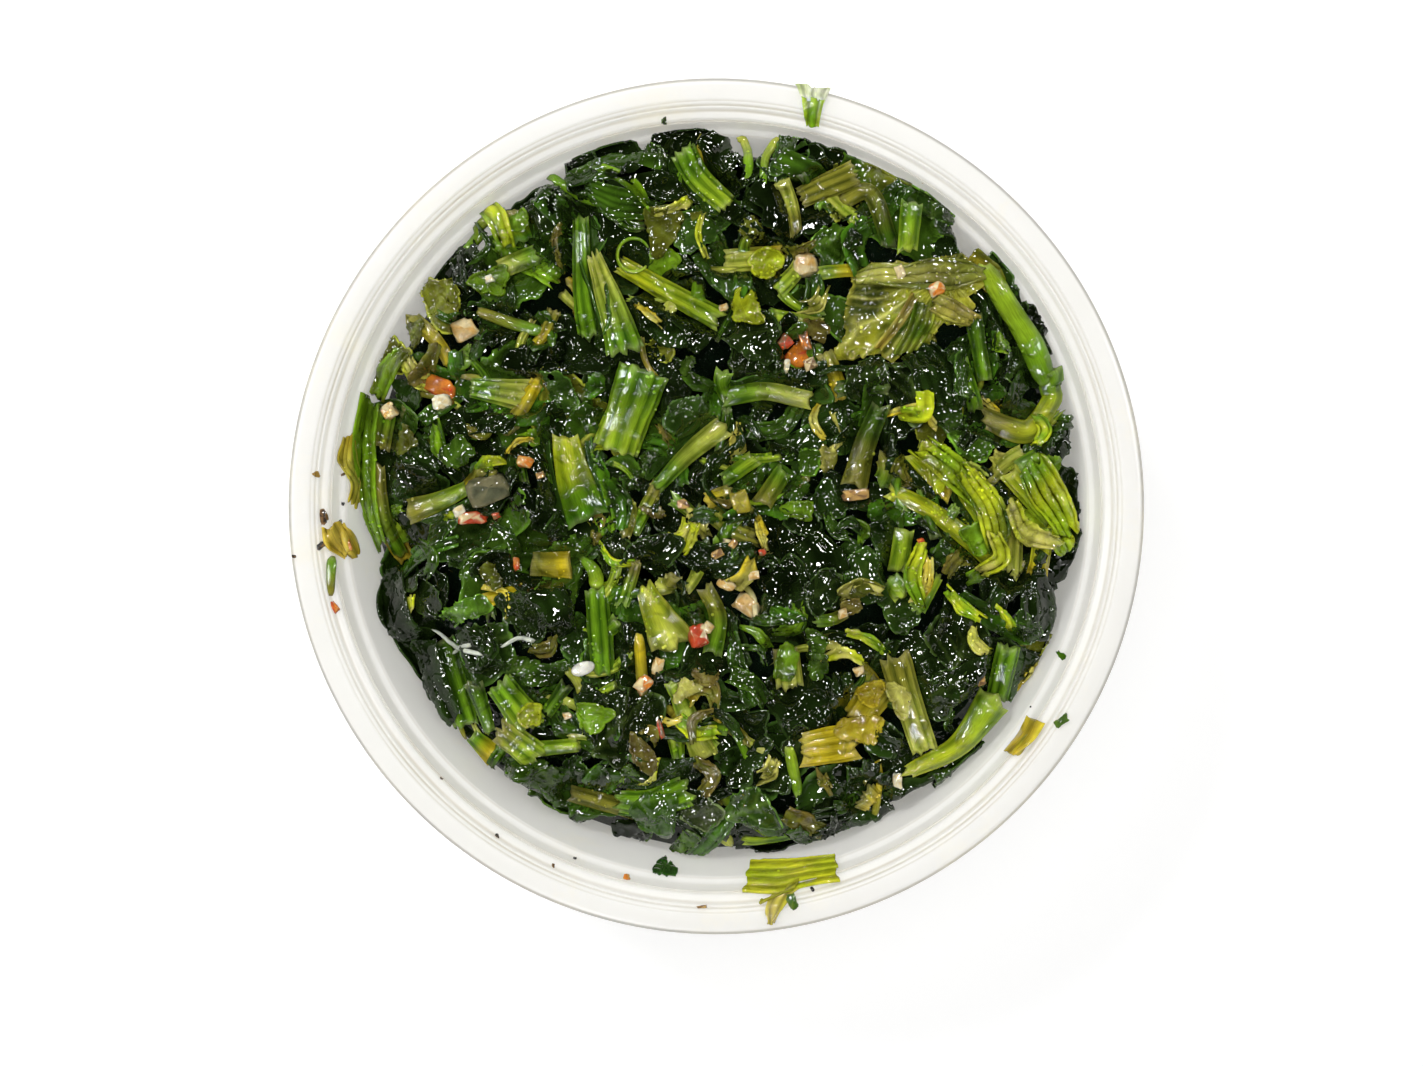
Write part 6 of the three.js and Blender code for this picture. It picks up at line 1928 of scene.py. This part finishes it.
def make_tub():
    """The tub, turned from its outline, from the middle of the underside round to the middle inside."""
    profile = [
        (AXIS_RADIUS, FLOOR_TOP - WALL),
        (FOOT_RADIUS - 3.4, FLOOR_TOP - WALL),
        (FOOT_RADIUS - 2.6, 0),
        (FOOT_RADIUS, 0),
        (CORNER_RADIUS + WALL + 0.2, 1.5),
        (SHOULDER_RADIUS + WALL, SHOULDER_HEIGHT - 0.4),
        (SHOULDER_RADIUS + 1.8, SHOULDER_HEIGHT + 0.3),
        (GROOVE_RADIUS + 0.1, TUB_HEIGHT - 2.6),
        (GROOVE_RADIUS + 1.2, TUB_HEIGHT - 2),
        (GROOVE_RADIUS + 1.5, TUB_HEIGHT - 0.9),
        (RIM_RADIUS - WALL, TUB_HEIGHT - 0.9),
        (RIM_RADIUS - WALL, SKIRT_HEIGHT),
        (RIM_RADIUS, SKIRT_HEIGHT),
        (RIM_RADIUS, TUB_HEIGHT - 0.6),
        (RIM_RADIUS - 0.6, TUB_HEIGHT),
        (GROOVE_RADIUS + 1.5, TUB_HEIGHT),
        (GROOVE_RADIUS + 1.3, TUB_HEIGHT - 0.3),
        (GROOVE_RADIUS + 0.9, TUB_HEIGHT - 0.4),
        (GROOVE_RADIUS + 0.7, TUB_HEIGHT - 0.9),
        (GROOVE_RADIUS + 0.4, TUB_HEIGHT - 0.8),
        (GROOVE_RADIUS + 0.1, TUB_HEIGHT - 1.6),
        (GROOVE_RADIUS - 0.9, TUB_HEIGHT - 1.9),
        (GROOVE_RADIUS - 1.1, TUB_HEIGHT - 2.5),
        (GROOVE_RADIUS - 1.3, TUB_HEIGHT - 2.3),
        (SHOULDER_RADIUS + 0.9, SHOULDER_HEIGHT + 0.7),
        (SHOULDER_RADIUS, SHOULDER_HEIGHT),
        (CORNER_RADIUS, CORNER_HEIGHT),
        (CORNER_RADIUS - 1.1, 1.3),
        (CORNER_RADIUS - 1.8, 0.9),
        (CORNER_RADIUS - 2.6, 0.9),
        (CORNER_RADIUS - 3.4, FLOOR_TOP),
        (AXIS_RADIUS, FLOOR_TOP),
    ]
    line = rounded(profile, CORNER_ROUNDING, 4)
    points = turned_points(line[:, 0], line[:, 1], TUB_SIDES).reshape(-1, 3)
    batch = Batch()
    zeros = np.zeros((len(points), 4))
    batch.add(points, grid_quads(len(line), TUB_SIDES), zeros, zeros[:, :2])
    dress(batch.build("tub_shell", tub_material()), "tub_plastic", "tub")


# The filling's pieces

# Depth of the bed's top under the height of the filling, and its dark tint
BED_DEPTH = 2.1
BED_TINT = (0.004, 0.009, 0.004, 0)
BED_SIDES = 96
BED_RINGS = 26
# Thickness of the leaf in each piece
CHOP_THICKNESS = 0.28
LEAF_THICKNESS = 0.3
PALE_THICKNESS = 0.35
LEDGE_THICKNESS = 0.4
SHRED_THICKNESS = 0.25
# How far the ends of stalks and bits are dented, or domed where it is below 0
STALK_DENT = 0.35
SMALL_STALK_DENT = 0.2
RIM_STALK_DENT = 0.15
BIT_DENT = -0.2
LOOSE_BIT_DENT = -0.1
# The chops that show are shared out over this many pieces
CHOP_PIECES = 4


def seen_from_above(points):
    """Whether anything of a chop lies on top of all that was laid."""
    top = read_height(points[..., 0], points[..., 1])
    return np.mean(points[..., 2] > top - 0.35) > 0.05


def make_bed():
    """The dark packed filling under the visible chops."""
    shares = np.linspace(1, 0.04, BED_RINGS)
    rings = turned_points((BED_RADIUS - 0.4) * shares, 0 * shares, BED_SIDES)
    x, y = rings[..., 0], rings[..., 1]
    rings[..., 2] = surface_height(x, y) - BED_DEPTH + 0.5 * wrinkle(x * 0.5, y * 0.5)
    core = turned_points([AXIS_RADIUS], [CENTRE_HEIGHT - BED_DEPTH], BED_SIDES)
    low_radii = [AXIS_RADIUS, CORNER_RADIUS - 4, CORNER_RADIUS - 0.7]
    low_heights = [FLOOR_TOP + 0.4, FLOOR_TOP + 0.4, CORNER_HEIGHT + 0.9]
    low = turned_points(low_radii, low_heights, BED_SIDES)
    points = np.concatenate([low, rings, core])
    batch = Batch()
    flat = points.reshape(-1, 3)
    tints = np.ones((len(flat), 4)) * BED_TINT
    batch.add(flat, grid_quads(len(points), BED_SIDES), tints, flat[:, :2])
    dress(batch.build("leaf_bed", leaf_material), "leaf_dark", "leaf_chops")


def sheet_piece(name, sheets, thickness, material, *slot_and_nodes):
    """One piece from thin sheets."""
    batch = Batch()
    for points, tints, flats in sheets:
        sheet(batch, points, thickness, tints, flats)
    dress(batch.build(name, material), *slot_and_nodes)


def tube_piece(name, bodies, dent, material, *slot_and_nodes):
    """One piece from closed bodies."""
    batch = Batch()
    for rings, tints, flats in bodies:
        tube(batch, rings, tints, flats, dent)
    dress(batch.build(name, material), *slot_and_nodes)


def make_leaf_pieces():
    """The folded strips and shreds, the chops that show, and the leaf on the stalks' flanks."""
    sheet_piece("leaf_folds", dark_strips, LEAF_THICKNESS, leaf_material, "leaf_dark")
    sheet_piece("leaf_shreds", pale_strips, LEAF_THICKNESS, pale_leaf_material, "stalk_green")
    visible = [chop for chop in chops if seen_from_above(chop[0])]
    print("chops kept", len(visible), "of", len(chops))
    each = math.ceil(len(visible) / CHOP_PIECES)
    for number in range(CHOP_PIECES):
        share = visible[number * each : (number + 1) * each]
        name = f"leaf_chops_{number + 1}"
        sheet_piece(name, share, CHOP_THICKNESS, leaf_material, "leaf_dark", "leaf_chops")
    sheet_piece("leaf_wings", wings, LEAF_THICKNESS, leaf_material, "leaf_dark")


def make_stalk_pieces():
    """Each single stalk, then the small stalks."""
    for entry, shape in stalk_shapes:
        name, kind = entry["name"], entry["slot"]
        tube_piece(name + "_fine", [shape], STALK_DENT, stalk_materials[kind], SLOT[kind], name)
    green = stalk_materials["green"]
    tube_piece("stalk_ends", small_stalks, SMALL_STALK_DENT, green, "stalk_green")


def make_single_leaves():
    """The large pale leaf, and the piece over the ledge."""
    pale_name, ledge_name = "leaf_pale_large", "leaf_on_ledge"
    yellow = stalk_materials["yellow"]
    sheet_piece("leaf_pale_fine", pale_sheets, PALE_THICKNESS, pale_leaf_material, "stalk_pale", pale_name)
    sheet_piece("leaf_on_ledge_fine", ledge_sheets(), LEDGE_THICKNESS, yellow, "stalk_green", ledge_name)


def make_bit_pieces():
    """Each bit that is a node, then the loose bits."""
    for name, shape in bits.items():
        kind = name.split("_")[0]
        tube_piece(name + "_fine", [shape], BIT_DENT, bit_materials[kind], kind, name)
    tube_piece("small_bits", loose_bits, LOOSE_BIT_DENT, bit_materials["garlic"], "garlic")


def make_rim_pieces():
    """The shreds and the thin stalks on the ledge, the wall and the rim."""
    stalks = [rim_stalk(*details) for details in RIM_STALKS]
    sheet_piece("rim_shreds", rim_shreds, SHRED_THICKNESS, stalk_materials["yellow"], "leaf_yellow")
    tube_piece("rim_stalks", stalks, RIM_STALK_DENT, stalk_materials["green"], "stalk_green")


# Beads of oil on the filling

BEAD_CLUSTERS = 170
CLUSTER_SPREADS = (0.8, 2.4)
CLUSTER_BEADS = (3, 13)
BEAD_RADII = (0.12, 0.3)
# Height of a bead over its radius, and what the tint below it is multiplied by
BEAD_RISE = 0.7
BEAD_TINT = (1.3, 1.3, 1.3, 0)
BEAD_SIDES = 8
BEAD_LATITUDES = (-20, 15, 45, 72)
# A bead stays only where the surface faces up by at least this much
LEAST_UPWARD = 0.4
# Height that the plumb lines start from, in metres
PLUMB_START = 0.2


def bead_dome():
    """A closed dome of radius 1: its points and its quads."""
    latitude = np.radians(np.array(BEAD_LATITUDES))[:, None]
    angle = (np.arange(BEAD_SIDES) / BEAD_SIDES * 2 * math.pi)[None]
    x, y = np.cos(latitude) * np.cos(angle), np.cos(latitude) * np.sin(angle)
    dome = np.stack([x, y, np.sin(latitude) + 0 * angle], axis=-1).reshape(-1, 3)
    rows = len(BEAD_LATITUDES)
    top = closing_quads((rows - 1) * BEAD_SIDES, BEAD_SIDES)
    return dome, np.concatenate([grid_quads(rows, BEAD_SIDES), closing_quads(0, BEAD_SIDES)[:, ::-1], top])


def surface_below(graph, x, y):
    """Where a plumb line meets the filling: the place, its normal and its tint, or None."""
    start = Vector((x * MM, y * MM, PLUMB_START))
    hit, place, normal, face, piece, _ = bpy.context.scene.ray_cast(graph, start, Vector((0, 0, -1)))
    if not hit or "tint" not in piece.data.color_attributes or normal.z < LEAST_UPWARD:
        return None
    corner = piece.data.polygons[face].vertices[0]
    return place, normal, np.array(piece.data.color_attributes["tint"].data[corner].color)


def make_oil_beads():
    """Small domes in clusters, each set on the surface below it."""
    bpy.context.view_layer.update()
    graph = bpy.context.evaluated_depsgraph_get()
    dome, quads = bead_dome()
    batch = Batch()
    for _ in range(BEAD_CLUSTERS):
        radius, turn = BED_RADIUS * math.sqrt(rng.random()), rng.uniform(0, 2 * math.pi)
        middle_x, middle_y = radius * math.cos(turn), radius * math.sin(turn)
        spread = rng.uniform(*CLUSTER_SPREADS)
        for _ in range(rng.integers(*CLUSTER_BEADS)):
            x, y = middle_x + rng.normal(0, spread), middle_y + rng.normal(0, spread)
            found = surface_below(graph, x, y)
            if found is None:
                continue
            place, normal, tone = found
            size = rng.uniform(*BEAD_RADII)
            tilt = np.array(Vector((0, 0, 1)).rotation_difference(normal).to_matrix())
            points = dome * (size, size, size * BEAD_RISE) @ tilt.T + np.array(place) / MM
            tints = np.broadcast_to(tone * BEAD_TINT, (len(points), 4))
            batch.add(points, quads, tints, points[:, :2])
    dress(batch.build("oil_beads", bead_material()), "leaf_dark")


# Floor, lights and camera, in metres

FLOOR_REACH = 3.0
# The soft lights: name, place, size and power
SOFT_LIGHTS = (
    ("key", (-0.42, 0.5, 0.8), 0.35, 3.8),
    ("top", (0.1, -0.05, 1.3), 1.1, 7.4),
)
# The small lights that glint in the oil, at these turns round the tub
GLINT_TURNS = (0.3, 1.7, 2.9, 4.4)
GLINT_REACH = 0.6
GLINT_HEIGHT = 0.7
GLINT_SIZE = 0.12
GLINT_POWER = 5.0
LIT_PLACE = (0, 0, 0.04)
ROOM_STRENGTH = 0.34
EYE = (0.012, 0.0, 0.395)
AIM = (-0.0003, -0.0036, 0.045)
LENS = 65.0
SENSOR_WIDTH = 36


def make_floor():
    """A plain pale floor, lit enough to look white."""
    mesh = bpy.data.meshes.new("floor")
    corners = [(sx * FLOOR_REACH, sy * FLOOR_REACH, 0) for sx, sy in ((-1, -1), (1, -1), (1, 1), (-1, 1))]
    mesh.from_pydata(corners, [], [(0, 1, 2, 3)])
    floor = bpy.data.objects.new("floor", mesh)
    bpy.context.collection.objects.link(floor)
    material, _, shader = new_material("floor")
    set_inputs(shader, Base_Color=(0.9, 0.9, 0.9, 1), Roughness=1.0, Specular_IOR_Level=0.0)
    set_inputs(shader, Emission_Color=(1, 1, 1, 1), Emission_Strength=0.3)
    mesh.materials.append(material)


def area_light(name, location, size, power, glossy):
    """A round light that faces the filling, seen in reflections only or by matt surfaces only."""
    data = bpy.data.lights.new(name, "AREA")
    data.shape = "DISK"
    data.size = size
    data.energy = power
    light = bpy.data.objects.new(name, data)
    light.location = location
    light.rotation_euler = (Vector(LIT_PLACE) - light.location).to_track_quat("-Z", "Y").to_euler()
    light.visible_glossy = glossy
    light.visible_diffuse = not glossy
    bpy.context.collection.objects.link(light)


def make_lights():
    """A key light from the back left, a broad one from above, and small glints for the oil."""
    for name, place, size, power in SOFT_LIGHTS:
        area_light(name, place, size, power, False)
    for number, turn in enumerate(GLINT_TURNS):
        place = (GLINT_REACH * math.cos(turn), GLINT_REACH * math.sin(turn), GLINT_HEIGHT)
        area_light(f"glint_{number}", place, GLINT_SIZE, GLINT_POWER, True)


def make_room():
    """A soft white room that reflections don't show."""
    world = bpy.data.worlds.new("soft_room")
    world.use_nodes = True
    set_inputs(world.node_tree.nodes["Background"], Color=(1, 1, 1, 1), Strength=ROOM_STRENGTH)
    bpy.context.scene.world = world
    world.cycles_visibility.glossy = False


def make_camera():
    """The photograph's view, from almost straight above, with the back of the tub up."""
    data = bpy.data.cameras.new("camera")
    data.sensor_width = SENSOR_WIDTH
    data.lens = LENS
    camera = bpy.data.objects.new("camera", data)
    bpy.context.collection.objects.link(camera)
    eye = Vector(EYE)
    back = (eye - Vector(AIM)).normalized()
    right = Vector((0, 1, 0)).cross(back).normalized()
    above = back.cross(right)
    camera.matrix_world = Matrix.Translation(eye) @ Matrix((right, above, back)).transposed().to_4x4()
    bpy.context.scene.camera = camera
    bpy.context.scene.view_settings.view_transform = "Standard"


# Making, in the order in which the filling fell

keep_pale_clear()
keep_bits_clear()
place_stalks()
lay_chops()
lay_broad_leaves()
lay_single_stalks()
lay_loose_stalks()
lay_more_stalks()
lay_cover_chops()
lay_leaf_strips()
lay_top_leaves()
lay_pale_leaf()
lay_bits()
add_rim_shreds()
add_thin_things()

make_tub()
make_bed()
make_leaf_pieces()
make_stalk_pieces()
make_single_leaves()
make_bit_pieces()
make_rim_pieces()
make_oil_beads()
make_floor()
make_lights()
make_room()
make_camera()

meshes = [piece for piece in bpy.data.objects if piece.type == "MESH"]
triangles = [sum(len(face.vertices) - 2 for face in piece.data.polygons) for piece in meshes]
print("triangles in all", sum(triangles), "in the largest piece", max(triangles))
